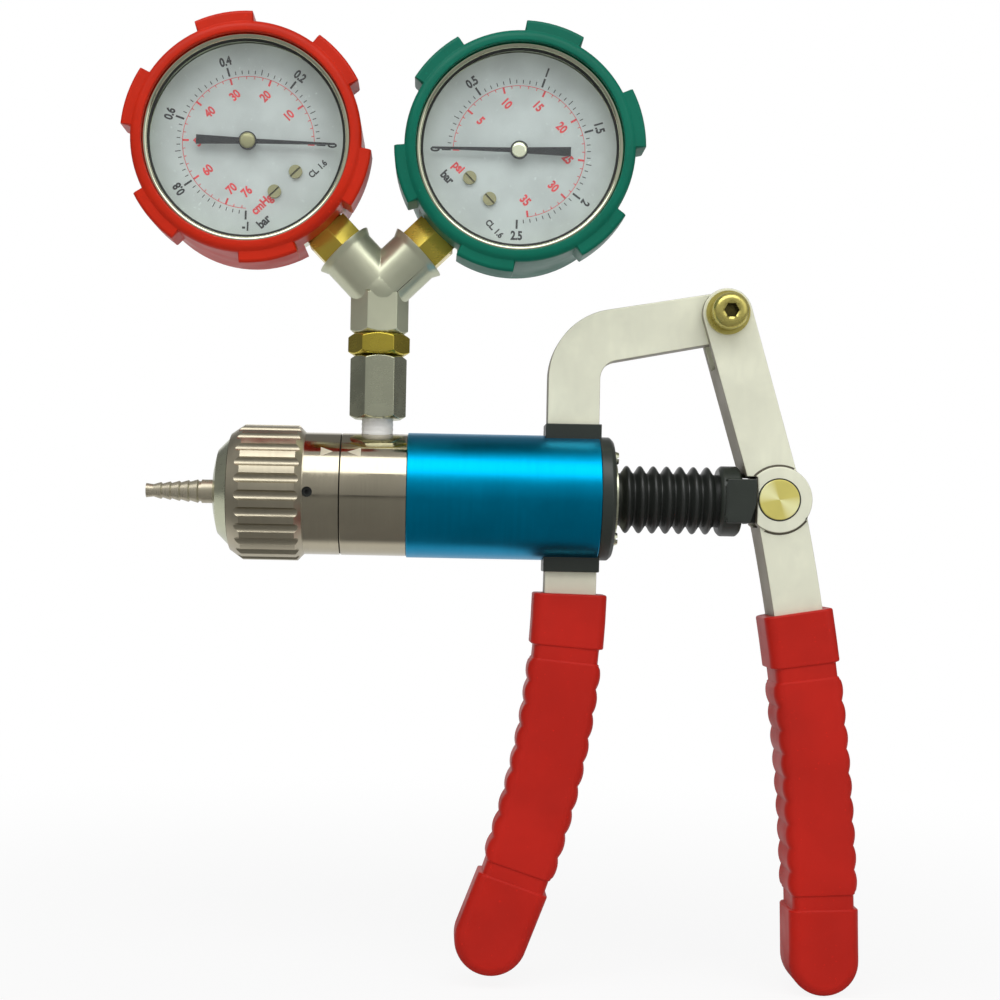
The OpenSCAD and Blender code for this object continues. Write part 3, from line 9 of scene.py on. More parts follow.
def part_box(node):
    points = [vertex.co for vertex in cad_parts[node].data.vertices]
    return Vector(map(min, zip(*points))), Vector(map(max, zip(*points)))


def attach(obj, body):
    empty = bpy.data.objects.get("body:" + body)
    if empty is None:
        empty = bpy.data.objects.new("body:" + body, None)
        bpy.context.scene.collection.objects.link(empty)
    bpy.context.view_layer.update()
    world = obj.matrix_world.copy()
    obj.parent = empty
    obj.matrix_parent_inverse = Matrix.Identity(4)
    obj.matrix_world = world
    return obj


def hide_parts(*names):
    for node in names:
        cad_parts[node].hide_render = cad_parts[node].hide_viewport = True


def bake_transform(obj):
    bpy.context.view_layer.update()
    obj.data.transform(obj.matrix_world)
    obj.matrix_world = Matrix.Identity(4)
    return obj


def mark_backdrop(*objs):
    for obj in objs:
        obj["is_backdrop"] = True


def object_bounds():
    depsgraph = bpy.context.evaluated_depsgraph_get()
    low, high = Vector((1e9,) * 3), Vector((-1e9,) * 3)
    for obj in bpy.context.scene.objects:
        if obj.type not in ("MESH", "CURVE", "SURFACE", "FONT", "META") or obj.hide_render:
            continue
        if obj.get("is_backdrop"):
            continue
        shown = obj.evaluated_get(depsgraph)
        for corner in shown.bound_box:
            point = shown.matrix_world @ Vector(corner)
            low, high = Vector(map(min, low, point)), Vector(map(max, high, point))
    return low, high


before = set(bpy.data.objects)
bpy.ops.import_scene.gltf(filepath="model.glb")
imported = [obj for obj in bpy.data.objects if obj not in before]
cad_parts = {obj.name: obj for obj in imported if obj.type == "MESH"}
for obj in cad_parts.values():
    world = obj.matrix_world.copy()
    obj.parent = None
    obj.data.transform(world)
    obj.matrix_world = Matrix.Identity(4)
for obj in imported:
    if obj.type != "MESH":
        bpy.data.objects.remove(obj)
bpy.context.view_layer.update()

bl_info = {
    "name": "Hand pump with two gauges",
    "version": (1, 0, 0),
    "blender": (4, 5, 0),
    "location": "View3D > Sidebar > Hand pump",
    "description": "Rubber pieces, printed dials, finishes and a plain stage for the packed hand pump",
    "category": "Object",
}

MM = 0.001
GAUGES = ("vacuum", "pressure")
FULL_TURN = 2 * math.pi
QUARTER_TURN = math.pi / 2
WHITE = (1.0, 1.0, 1.0, 1.0)


def from_screen(red, green, blue):
    """A colour as it looks on a screen, 0 to 255, turned into the linear colour that shaders use."""
    def linear(c):
        c = c / 255
        return c / 12.92 if c <= 0.04045 else ((c + 0.055) / 1.055) ** 2.4
    return (linear(red), linear(green), linear(blue), 1.0)


def length(name, description, default_mm):
    """A length, given in millimetres and kept in metres."""
    return bpy.props.FloatProperty(
        name=name, description=description, default=default_mm * MM, precision=5, unit="LENGTH"
    )


def angle(name, description, default_deg):
    """An angle, given in degrees and kept in radians."""
    return bpy.props.FloatProperty(
        name=name, description=description, default=math.radians(default_deg), subtype="ANGLE"
    )


def colour(name, description, default):
    """A colour, given as it looks on a screen."""
    return bpy.props.FloatVectorProperty(
        name=name, description=description, default=from_screen(*default),
        size=4, subtype="COLOR", min=0, max=1,
    )


def whole_number(name, description, default, **limits):
    """A count."""
    return bpy.props.IntProperty(name=name, description=description, default=default, **limits)


def plain_number(name, description, default, **kind):
    """A value that isn't a length or an angle."""
    return bpy.props.FloatProperty(name=name, description=description, default=default, **kind)


class RubberSizes(bpy.types.PropertyGroup):
    """Sizes of the rubber pieces and the spring."""

    folds: whole_number("Folds", "Folds of the bellows", 7, min=3, max=12)
    fold_radius: length("Fold radius", "Radius of the bellows over its crests", 10.3)
    fold_depth: length("Fold depth", "Depth of the folds of the bellows", 2.3)
    fold_wall: length("Bellows wall", "Thickness of the bellows", 1.0)
    cuff: length("Cuff", "Plain length at each end of the bellows", 1.2)
    spring_radius: length("Spring radius", "Radius of the return spring to the middle of its wire", 5.0)
    spring_wire: length("Spring wire", "Radius of the spring's wire", 0.6)
    spring_turns: whole_number("Spring turns", "Turns of the return spring", 7, min=3)
    grip_corner: length("Grip corner", "Radius along the edges of the grips", 3.4)
    band: length("Grip band", "Length of the plain band at the top of each grip", 16)
    groove: length("Grip groove", "Length of the grooves round each grip", 4.5)
    groove_depth: length("Groove depth", "Depth of those grooves at the sides", 1.2)
    groove_front: length("Groove front depth", "Depth of those grooves across the front and back", 0.4)
    ridges: whole_number("Ridges", "Finger ridges on each side of a grip", 9, min=3)
    ridge_pitch: length("Ridge pitch", "Distance between the finger ridges", 7.2)
    ridge_rise: length("Ridge rise", "Height of the finger ridges", 0.8)
    boot_radius: length("Boot radius", "Outer radius of the gauge boots", 34.2)
    lobe_radius: length("Lobe radius", "Outer radius over the lobes of the boots", 37.2)
    lobe_width: angle("Lobe width", "Width of each lobe", 27)
    boot_edge: length("Boot edge", "Radius of the boots' rounded edges", 2.2)
    boot_opening: length("Boot opening", "Radius of the opening at the front of the boots", 30.8)


class GaugeSizes(bpy.types.PropertyGroup):
    """Lean of the gauges, and sizes of what is printed on their dials."""

    vacuum_lean: angle("Vacuum lean", "Lean of the vacuum gauge from upright", -44)
    pressure_lean: angle("Pressure lean", "Lean of the pressure gauge from upright", 45.7)
    vacuum_lobe_turn: angle("Vacuum lobe turn", "Turn of the vacuum boot's lobes about its dial", -2.5)
    sweep: angle("Sweep", "Turn of a pointer over its whole scale", 270)
    tick_inner: length("Tick radius", "Inner radius of the black ticks", 20.4)
    tick_outer: length("Short tick end", "Outer radius of the short black ticks", 21.5)
    main_outer: length("Main tick end", "Outer radius of the main black ticks", 23.1)
    number_radius: length("Number radius", "Radius of the middle of the black numbers", 25.1)
    red_outer: length("Red scale radius", "Radius of the red scale's line", 19.8)
    red_short: length("Red short tick", "Inner radius of the short red ticks", 18.9)
    red_main: length("Red main tick", "Inner radius of the main red ticks", 17.8)
    red_number_radius: length("Red number radius", "Radius of the middle of the red numbers", 14.7)
    number_height: length("Number height", "Type size of the numbers", 3.6)
    ink: length("Ink", "Height of the print above the dial", 0.02)


class Finishes(bpy.types.PropertyGroup):
    """Colours of the finishes."""

    nickel: colour("Nickel", "Plated nose, selector and valve body", (191, 183, 161))
    steel: colour("Steel", "Plated fittings and small steel parts", (208, 211, 184))
    satin: colour("Satin", "Satin bars of the handle and lever", (244, 245, 222))
    blue: colour("Blue", "Anodised cylinder tube", (0, 152, 198))
    brass: colour("Brass", "Pins, nuts and gauge stems", (218, 198, 82))
    black: colour("Black", "Moulded end housing and rod end", (45, 51, 45))
    rubber: colour("Rubber", "Bellows and seals", (35, 38, 35))
    grip: colour("Grip red", "Vinyl grips", (192, 30, 16))
    red_boot: colour("Red boot", "Boot of the vacuum gauge", (199, 37, 6))
    green_boot: colour("Green boot", "Boot of the pressure gauge", (0, 108, 86))
    dial: colour("Dial", "Dial paint", (197, 207, 204))
    ink_black: colour("Black ink", "Black print", (32, 36, 38))
    ink_red: colour("Red ink", "Red print", (214, 62, 66))
    tape: colour("Tape", "Thread seal tape", (252, 252, 248))


# Shader node groups, each built once

def feed(tree, value, socket):
    """Links an output to a socket, or sets the socket to a plain value."""
    if isinstance(value, bpy.types.NodeSocket):
        tree.links.new(value, socket)
    else:
        socket.default_value = value


def new_group(name, inputs, outputs):
    """An empty node group with its sockets and its two end nodes."""
    group = bpy.data.node_groups.new(name, "ShaderNodeTree")
    for label, kind, default in inputs:
        socket = group.interface.new_socket(label, in_out="INPUT", socket_type=kind)
        if default is not None:
            socket.default_value = default
    for label, kind in outputs:
        group.interface.new_socket(label, in_out="OUTPUT", socket_type=kind)
    enter = group.nodes.new("NodeGroupInput")
    leave = group.nodes.new("NodeGroupOutput")
    return group, enter, leave


def math_node(tree, operation, first, second=None, clamp=False):
    """Output of a Math node."""
    node = tree.nodes.new("ShaderNodeMath")
    node.operation = operation
    node.use_clamp = clamp
    feed(tree, first, node.inputs[0])
    if second is not None:
        feed(tree, second, node.inputs[1])
    return node.outputs[0]


def vector_node(tree, operation, first, second):
    """Outputs of a Vector Math node."""
    node = tree.nodes.new("ShaderNodeVectorMath")
    node.operation = operation
    feed(tree, first, node.inputs[0])
    feed(tree, second, node.inputs[1])
    return node.outputs


def parts_of(tree, vector):
    """The x, y and z of a vector."""
    node = tree.nodes.new("ShaderNodeSeparateXYZ")
    tree.links.new(vector, node.inputs[0])
    return node.outputs


def noise_node(tree, vector, scale, detail, roughness=0.5):
    """Output of a Noise node, 0 to 1."""
    node = tree.nodes.new("ShaderNodeTexNoise")
    tree.links.new(vector, node.inputs["Vector"])
    feed(tree, scale, node.inputs["Scale"])
    node.inputs["Detail"].default_value = detail
    node.inputs["Roughness"].default_value = roughness
    return node.outputs["Fac"]


def ramp_node(tree, value, low, high):
    """0 below low, 1 above high, and a smooth rise between them."""
    node = tree.nodes.new("ShaderNodeMapRange")
    node.interpolation_type = "SMOOTHSTEP"
    tree.links.new(value, node.inputs["Value"])
    node.inputs["From Min"].default_value = low
    node.inputs["From Max"].default_value = high
    return node.outputs["Result"]


def spread(tree, value, middle, reach):
    """A value that swings by reach either side of middle as the pattern goes from 0 to 1."""
    node = tree.nodes.new("ShaderNodeMapRange")
    tree.links.new(value, node.inputs["Value"])
    node.inputs["To Min"].default_value = middle - reach
    node.inputs["To Max"].default_value = middle + reach
    return node.outputs["Result"]


def tool_lines_group():
    """Fine lines left by a lathe or a brush: they run across the axis that Stretch makes dense."""
    group, enter, leave = new_group(
        "tool_lines",
        [("Vector", "NodeSocketVector", None), ("Stretch", "NodeSocketVector", (1.0, 1.0, 1.0))],
        [("Lines", "NodeSocketFloat"), ("Bands", "NodeSocketFloat")],
    )
    stretched = vector_node(group, "MULTIPLY", enter.outputs["Vector"], enter.outputs["Stretch"])[0]
    fine = noise_node(group, stretched, 1.0, 3.0, 0.6)
    broad = noise_node(group, stretched, 0.11, 2.0)
    group.links.new(fine, leave.inputs["Lines"])
    group.links.new(ramp_node(group, broad, 0.3, 0.7), leave.inputs["Bands"])
    return group


def handling_group():
    """Cloudy patches of handling: where fingers have dulled a surface a little."""
    group, enter, leave = new_group(
        "handling",
        [("Vector", "NodeSocketVector", None), ("Scale", "NodeSocketFloat", 60.0)],
        [("Smears", "NodeSocketFloat"), ("Specks", "NodeSocketFloat")],
    )
    cloud = noise_node(group, enter.outputs["Vector"], enter.outputs["Scale"], 4.0, 0.55)
    small = math_node(group, "MULTIPLY", enter.outputs["Scale"], 22.0)
    speck = noise_node(group, enter.outputs["Vector"], small, 2.0)
    group.links.new(ramp_node(group, cloud, 0.36, 0.66), leave.inputs["Smears"])
    group.links.new(ramp_node(group, speck, 0.66, 0.78), leave.inputs["Specks"])
    return group


def moulded_skin_group():
    """The fine pebble that a mould leaves on rubber, vinyl and plastic."""
    group, enter, leave = new_group(
        "moulded_skin",
        [("Vector", "NodeSocketVector", None), ("Scale", "NodeSocketFloat", 2200.0)],
        [("Height", "NodeSocketFloat"), ("Tone", "NodeSocketFloat")],
    )
    vector, scale = enter.outputs["Vector"], enter.outputs["Scale"]
    cells = group.nodes.new("ShaderNodeTexVoronoi")
    cells.feature = "SMOOTH_F1"
    group.links.new(vector, cells.inputs["Vector"])
    group.links.new(scale, cells.inputs["Scale"])
    grain = noise_node(group, vector, math_node(group, "MULTIPLY", scale, 0.6), 3.0)
    height = math_node(group, "ADD", math_node(group, "MULTIPLY", cells.outputs["Distance"], 0.6), grain)
    group.links.new(height, leave.inputs["Height"])
    tone = noise_node(group, vector, math_node(group, "MULTIPLY", scale, 0.02), 3.0)
    group.links.new(ramp_node(group, tone, 0.3, 0.7), leave.inputs["Tone"])
    return group


def edge_wear_group():
    """Lighter edges, as rubbed wear and as a painted highlight: where the rounded normal turns away from the
    face's own.
    """
    group, enter, leave = new_group(
        "edge_wear_and_highlight",
        [("Vector", "NodeSocketVector", None), ("Width", "NodeSocketFloat", 0.0004)],
        [("Wear", "NodeSocketFloat")],
    )
    rounded = group.nodes.new("ShaderNodeBevel")
    rounded.samples = 6
    group.links.new(enter.outputs["Width"], rounded.inputs["Radius"])
    face = group.nodes.new("ShaderNodeNewGeometry")
    same = vector_node(group, "DOT_PRODUCT", rounded.outputs["Normal"], face.outputs["Normal"])["Value"]
    # Lighter edges, as rubbed wear and as a painted highlight
    edged = ramp_node(group, math_node(group, "SUBTRACT", 1.0, same), 0.015, 0.16)
    patches = ramp_node(group, noise_node(group, enter.outputs["Vector"], 900.0, 3.0, 0.7), 0.38, 0.62)
    group.links.new(math_node(group, "MULTIPLY", edged, patches), leave.inputs["Wear"])
    return group


def recess_group():
    """Painted shade in recesses: 0 on open faces, up to 1 deep in sockets and slots."""
    group, enter, leave = new_group(
        "recess",
        [("Vector", "NodeSocketVector", None), ("Reach", "NodeSocketFloat", 0.004)],
        [("Grime", "NodeSocketFloat")],
    )
    sky = group.nodes.new("ShaderNodeAmbientOcclusion")
    sky.samples = 6
    sky.only_local = True
    group.links.new(enter.outputs["Reach"], sky.inputs["Distance"])
    # Painted shade: the less open sky that ambient occlusion finds, the darker
    shut = ramp_node(group, math_node(group, "SUBTRACT", 1.0, sky.outputs["AO"]), 0.15, 0.55)
    patches = spread(group, noise_node(group, enter.outputs["Vector"], 700.0, 3.0), 0.9, 0.1)
    group.links.new(math_node(group, "MULTIPLY", shut, patches), leave.inputs["Grime"])
    return group


GROUP_MAKERS = {
    "tool_lines": tool_lines_group,
    "handling": handling_group,
    "moulded_skin": moulded_skin_group,
    "edge_wear_and_highlight": edge_wear_group,
    "recess": recess_group,
}


class Palette:
    """The node groups and the finishes made from them, one of each in a file."""

    groups = {}
    finishes = {}


def start_finish(name):
    """A new material in the palette: its tree, its shader and the object's own coordinates."""
    finish = bpy.data.materials.new(name)
    finish.use_nodes = True
    tree = finish.node_tree
    place = tree.nodes.new("ShaderNodeTexCoord").outputs["Object"]
    Palette.finishes[name] = finish
    return tree, tree.nodes["Principled BSDF"], place


def use_group(tree, name, place, **values):
    """Places a shared node group, with values for its other inputs."""
    if name not in Palette.groups:
        Palette.groups[name] = GROUP_MAKERS[name]()
    node = tree.nodes.new("ShaderNodeGroup")
    node.node_tree = Palette.groups[name]
    tree.links.new(place, node.inputs["Vector"])
    for label, value in values.items():
        node.inputs[label].default_value = value
    return node


def mix_colours(tree, share, first, second):
    """Output that goes from the first colour to the second with share."""
    node = tree.nodes.new("ShaderNodeMix")
    node.data_type = "RGBA"
    tree.links.new(share, node.inputs["Factor"])
    for label, value in (("A", first), ("B", second)):
        feed(tree, value, next(s for s in node.inputs if s.name == label and s.type == "RGBA"))
    return next(s for s in node.outputs if s.type == "RGBA")


def mix_shaders(tree, share, first, second):
    """Ends a material in a mix of two shaders."""
    node = tree.nodes.new("ShaderNodeMixShader")
    for value, socket in zip((share, first, second), node.inputs):
        tree.links.new(value, socket)
    tree.links.new(node.outputs["Shader"], tree.nodes["Material Output"].inputs["Surface"])


def shade(tone, factor):
    """A colour made lighter or darker."""
    return tuple(min(1.0, c * factor) for c in tone[:3]) + (1.0,)


def bump(tree, shader, height, strength, distance):
    """Gives a shader a bumped normal."""
    node = tree.nodes.new("ShaderNodeBump")
    node.inputs["Strength"].default_value = strength
    node.inputs["Distance"].default_value = distance
    tree.links.new(height, node.inputs["Height"])
    tree.links.new(node.outputs["Normal"], shader.inputs["Normal"])


def fan_sheen(tree, place, centre):
    """Share of a painted highlight: the two bright sectors of a face that was turned about y, round its
    centre.
    """
    outward = parts_of(tree, vector_node(tree, "SUBTRACT", place, centre)["Vector"])
    turn = math_node(tree, "ARCTAN2", outward["Z"], outward["X"])
    sectors, phase = 2.0, 1.1
    wave = math_node(tree, "ADD", math_node(tree, "MULTIPLY", turn, sectors), phase)
    return spread(tree, math_node(tree, "COSINE", wave), 0.5, 0.5)


def metal_finish(
    name, tone, rough, stretch, line_depth=0.00002, metallic=1.0, wear=None, round_brush=0.0, smear=0.05,
    grime=None, polish=None, fan=None, side_shade=None,
):
    """Metal with tool lines and handling marks.

    wear is the colour that lightens edges, as rubbed wear and as a painted highlight; grime
    the darker colour painted as shade down in recesses; polish (a place along x, a roughness) where a
    smoother part of the same piece begins; fan (a centre, a colour) a painted highlight in the two bright
    sectors of a face turned about y; and side_shade the darker colour painted as shade on faces that don't
    look along y.
    """
    tree, shader, place = start_finish(name)
    lines = use_group(tree, "tool_lines", place, Stretch=stretch)
    marks = use_group(tree, "handling", place, Scale=70.0)
    toned = mix_colours(tree, marks.outputs["Smears"], shade(tone, 0.93), shade(tone, 1.04))
    toned = mix_colours(tree, lines.outputs["Bands"], toned, shade(tone, 0.97))
    # Painted highlight: two bright sectors mixed into the colour
    if fan is not None:
        centre, sheen = fan
        toned = mix_colours(tree, fan_sheen(tree, place, centre), toned, sheen)
    # Painted shade: faces that don't look along y take a darker colour
    if side_shade is not None:
        facing = parts_of(tree, tree.nodes.new("ShaderNodeTexCoord").outputs["Normal"])["Y"]
        faced = ramp_node(tree, math_node(tree, "ABSOLUTE", facing), 0.45, 0.75)
        toned = mix_colours(tree, faced, side_shade, toned)
    # Edges lightened, as rubbed wear and as a painted highlight
    if wear is not None:
        edges = use_group(tree, "edge_wear_and_highlight", place, Width=0.0005)
        toned = mix_colours(tree, edges.outputs["Wear"], toned, wear)
    # Painted shade: a darker colour down in recesses
    if grime is not None:
        sunk = use_group(tree, "recess", place)
        toned = mix_colours(tree, sunk.outputs["Grime"], toned, grime)
    tree.links.new(toned, shader.inputs["Base Color"])
    dulled = math_node(
        tree, "ADD",
        spread(tree, lines.outputs["Lines"], rough, rough * 0.18),
        spread(tree, marks.outputs["Smears"], 0.0, smear),
    )
    if polish is not None:
        start, smooth = polish
        step = 0.2 * MM
        share = ramp_node(tree, parts_of(tree, place)["X"], start - step, start + step)
        gain = math_node(tree, "MULTIPLY", share, rough - smooth)
        dulled = math_node(tree, "SUBTRACT", dulled, gain, clamp=True)
    tree.links.new(dulled, shader.inputs["Roughness"])
    shader.inputs["Metallic"].default_value = metallic
    shader.inputs["Anisotropic"].default_value = round_brush
    bump(tree, shader, lines.outputs["Lines"], 0.25, line_depth)
    if round_brush:
        tangent = tree.nodes.new("ShaderNodeTangent")
        tangent.direction_type = "RADIAL"
        tangent.axis = "Y"
        tree.links.new(tangent.outputs["Tangent"], shader.inputs["Tangent"])


def moulded_finish(name, tone, rough, scale, depth, shine):
    """Moulded rubber, vinyl or plastic: pebbled skin, uneven tone, dusty specks."""
    tree, shader, place = start_finish(name)
    skin = use_group(tree, "moulded_skin", place, Scale=scale)
    marks = use_group(tree, "handling", place, Scale=45.0)
    toned = mix_colours(tree, skin.outputs["Tone"], shade(tone, 0.9), shade(tone, 1.06))
    toned = mix_colours(tree, marks.outputs["Specks"], toned, shade(tone, 1.22))
    tree.links.new(toned, shader.inputs["Base Color"])
    tree.links.new(spread(tree, marks.outputs["Smears"], rough, 0.07), shader.inputs["Roughness"])
    shader.inputs["Specular IOR Level"].default_value = shine
    bump(tree, shader, skin.outputs["Height"], 0.35, depth)


def glass_finish(name):
    """Clear window: mirrors its surroundings faintly and lets the lamps reach the dial behind it."""
    tree, shader, place = start_finish(name)
    marks = use_group(tree, "handling", place, Scale=55.0)
    tree.links.new(spread(tree, marks.outputs["Smears"], 0.012, 0.012), shader.inputs["Roughness"])
    shader.inputs["Base Color"].default_value = (0.97, 0.985, 0.985, 1.0)
    shader.inputs["Transmission Weight"].default_value = 1.0
    shader.inputs["IOR"].default_value = 1.45
    open_way = tree.nodes.new("ShaderNodeBsdfTransparent")
    path = tree.nodes.new("ShaderNodeLightPath").outputs
    lamps = math_node(tree, "MAXIMUM", path["Is Shadow Ray"], path["Is Diffuse Ray"])
    mix_shaders(tree, lamps, shader.outputs["BSDF"], open_way.outputs["BSDF"])


def print_finish(name, tone):
    """Screen-printed ink, a little thin in places."""
    tree, shader, place = start_finish(name)
    marks = use_group(tree, "handling", place, Scale=260.0)
    toned = mix_colours(tree, marks.outputs["Smears"], tone, shade(tone, 1.25))
    tree.links.new(toned, shader.inputs["Base Color"])
    tree.links.new(spread(tree, marks.outputs["Smears"], 0.5, 0.1), shader.inputs["Roughness"])


def tape_finish(name, tone):
    """White thread seal: soft, waxy, with the edges of its wraps showing."""
    tree, shader, place = start_finish(name)
    lines = use_group(tree, "tool_lines", place, Stretch=(500.0, 500.0, 5200.0))
    toned = mix_colours(tree, lines.outputs["Lines"], shade(tone, 0.86), shade(tone, 1.05))
    tree.links.new(toned, shader.inputs["Base Color"])
    tree.links.new(spread(tree, lines.outputs["Bands"], 0.45, 0.08), shader.inputs["Roughness"])
    shader.inputs["Subsurface Weight"].default_value = 0.25
    shader.inputs["Subsurface Radius"].default_value = (0.001, 0.001, 0.001)
    bump(tree, shader, lines.outputs["Lines"], 0.5, 0.00008)


# Mesh helpers

def once_round(steps):
    """Angles of a full turn, without its end."""
    return [FULL_TURN * k / steps for k in range(steps)]


def quarter_arc(steps):
    """Angles of a quarter turn, with its end."""
    return [QUARTER_TURN * k / steps for k in range(steps + 1)]


def loft(rows, close_rows=False, cap_first=False, cap_last=False):
    """Points and faces of a skin over rows of points that each go once round."""
    points = [p for row in rows for p in row]
    around = len(rows[0])
    faces = []
    for i in range(len(rows) if close_rows else len(rows) - 1):
        low, high = i * around, (i + 1) % len(rows) * around
        for k in range(around):
            n = (k + 1) % around
            faces.append((low + k, low + n, high + n, high + k))
    if cap_first:
        faces.append(tuple(reversed(range(around))))
    if cap_last:
        faces.append(tuple(range(len(points) - around, len(points))))
    return points, faces


def smooth_mesh(mesh, sharp):
    """Smooth shading but for edges sharper than sharp degrees."""
    mesh.polygons.foreach_set("use_smooth", [True] * len(mesh.polygons))
    mesh.set_sharp_from_angle(angle=math.radians(sharp))


def build_mesh(name, points, faces, sharp=40):
    """A clean mesh: doubles joined, normals outward, smooth but for edges sharper than sharp degrees."""
    shape = bmesh.new()
    made = [shape.verts.new(p) for p in points]
    for face in faces:
        shape.faces.new([made[i] for i in face])
    bmesh.ops.remove_doubles(shape, verts=shape.verts, dist=1e-7)
    bmesh.ops.dissolve_degenerate(shape, edges=shape.edges, dist=1e-8)
    bmesh.ops.recalc_face_normals(shape, faces=shape.faces)
    mesh = bpy.data.meshes.new(name)
    shape.to_mesh(mesh)
    shape.free()
    smooth_mesh(mesh, sharp)
    return mesh


def add_piece(mesh, finish, body=None, stands_for=()):
    """Puts a mesh in the scene in its finish, its body and the nodes that it replaces."""
    piece = bpy.data.objects.new(mesh.name, mesh)
    bpy.context.scene.collection.objects.link(piece)
    mesh.materials.append(Palette.finishes[finish])
    if body:
        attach(piece, body)
    if stands_for:
        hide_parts(*stands_for)
    return piece


def add_skin(name, rows, sharp, finish, slot=None, body=None, stands_for=(), **closing):
    """A piece whose mesh is the skin over rows of points."""
    points, faces = loft(rows, **closing)
    return add_piece(build_mesh(name, points, faces, sharp), finish, body, stands_for)


def flat_faces_true(piece, keep_sharp=True):
    """Keeps wide flat faces flat beside their rounded edges."""
    weigh = piece.modifiers.new("weighted", "WEIGHTED_NORMAL")
    weigh.keep_sharp = keep_sharp
    weigh.weight = 90


def turned(profile, steps, place):
    """Rows of a turned form: profile gives (radius, height), place puts (x, y, height) in the frame."""
    rows = []
    for radius, height in profile:
        rows.append([place(radius * math.cos(a), radius * math.sin(a), height) for a in once_round(steps)])
    return rows


def along_pump(x, y, height):
    """Place for forms turned about the pump's own axis."""
    return (height, x, y)


class GaugePlace:
    """Where a gauge sits: its own axes have y away from the stem and z towards the viewer."""

    def __init__(self, gauge, lean):
        low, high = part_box(gauge + "_dial")
        self.middle = (low + high) / 2
        self.lean = lean
        self.dial_front = -low.y

    def __call__(self, x, y, z):
        c, s = math.cos(self.lean), math.sin(self.lean)
        return (self.middle.x + x * c + y * s, -z, self.middle.z - x * s + y * c)


def gauge_place(context, gauge):
    """The place of one of the two gauges."""
    sizes = context.scene.gauge_sizes
    return GaugePlace(gauge, sizes.vacuum_lean if gauge == "vacuum" else sizes.pressure_lean)


# Pieces

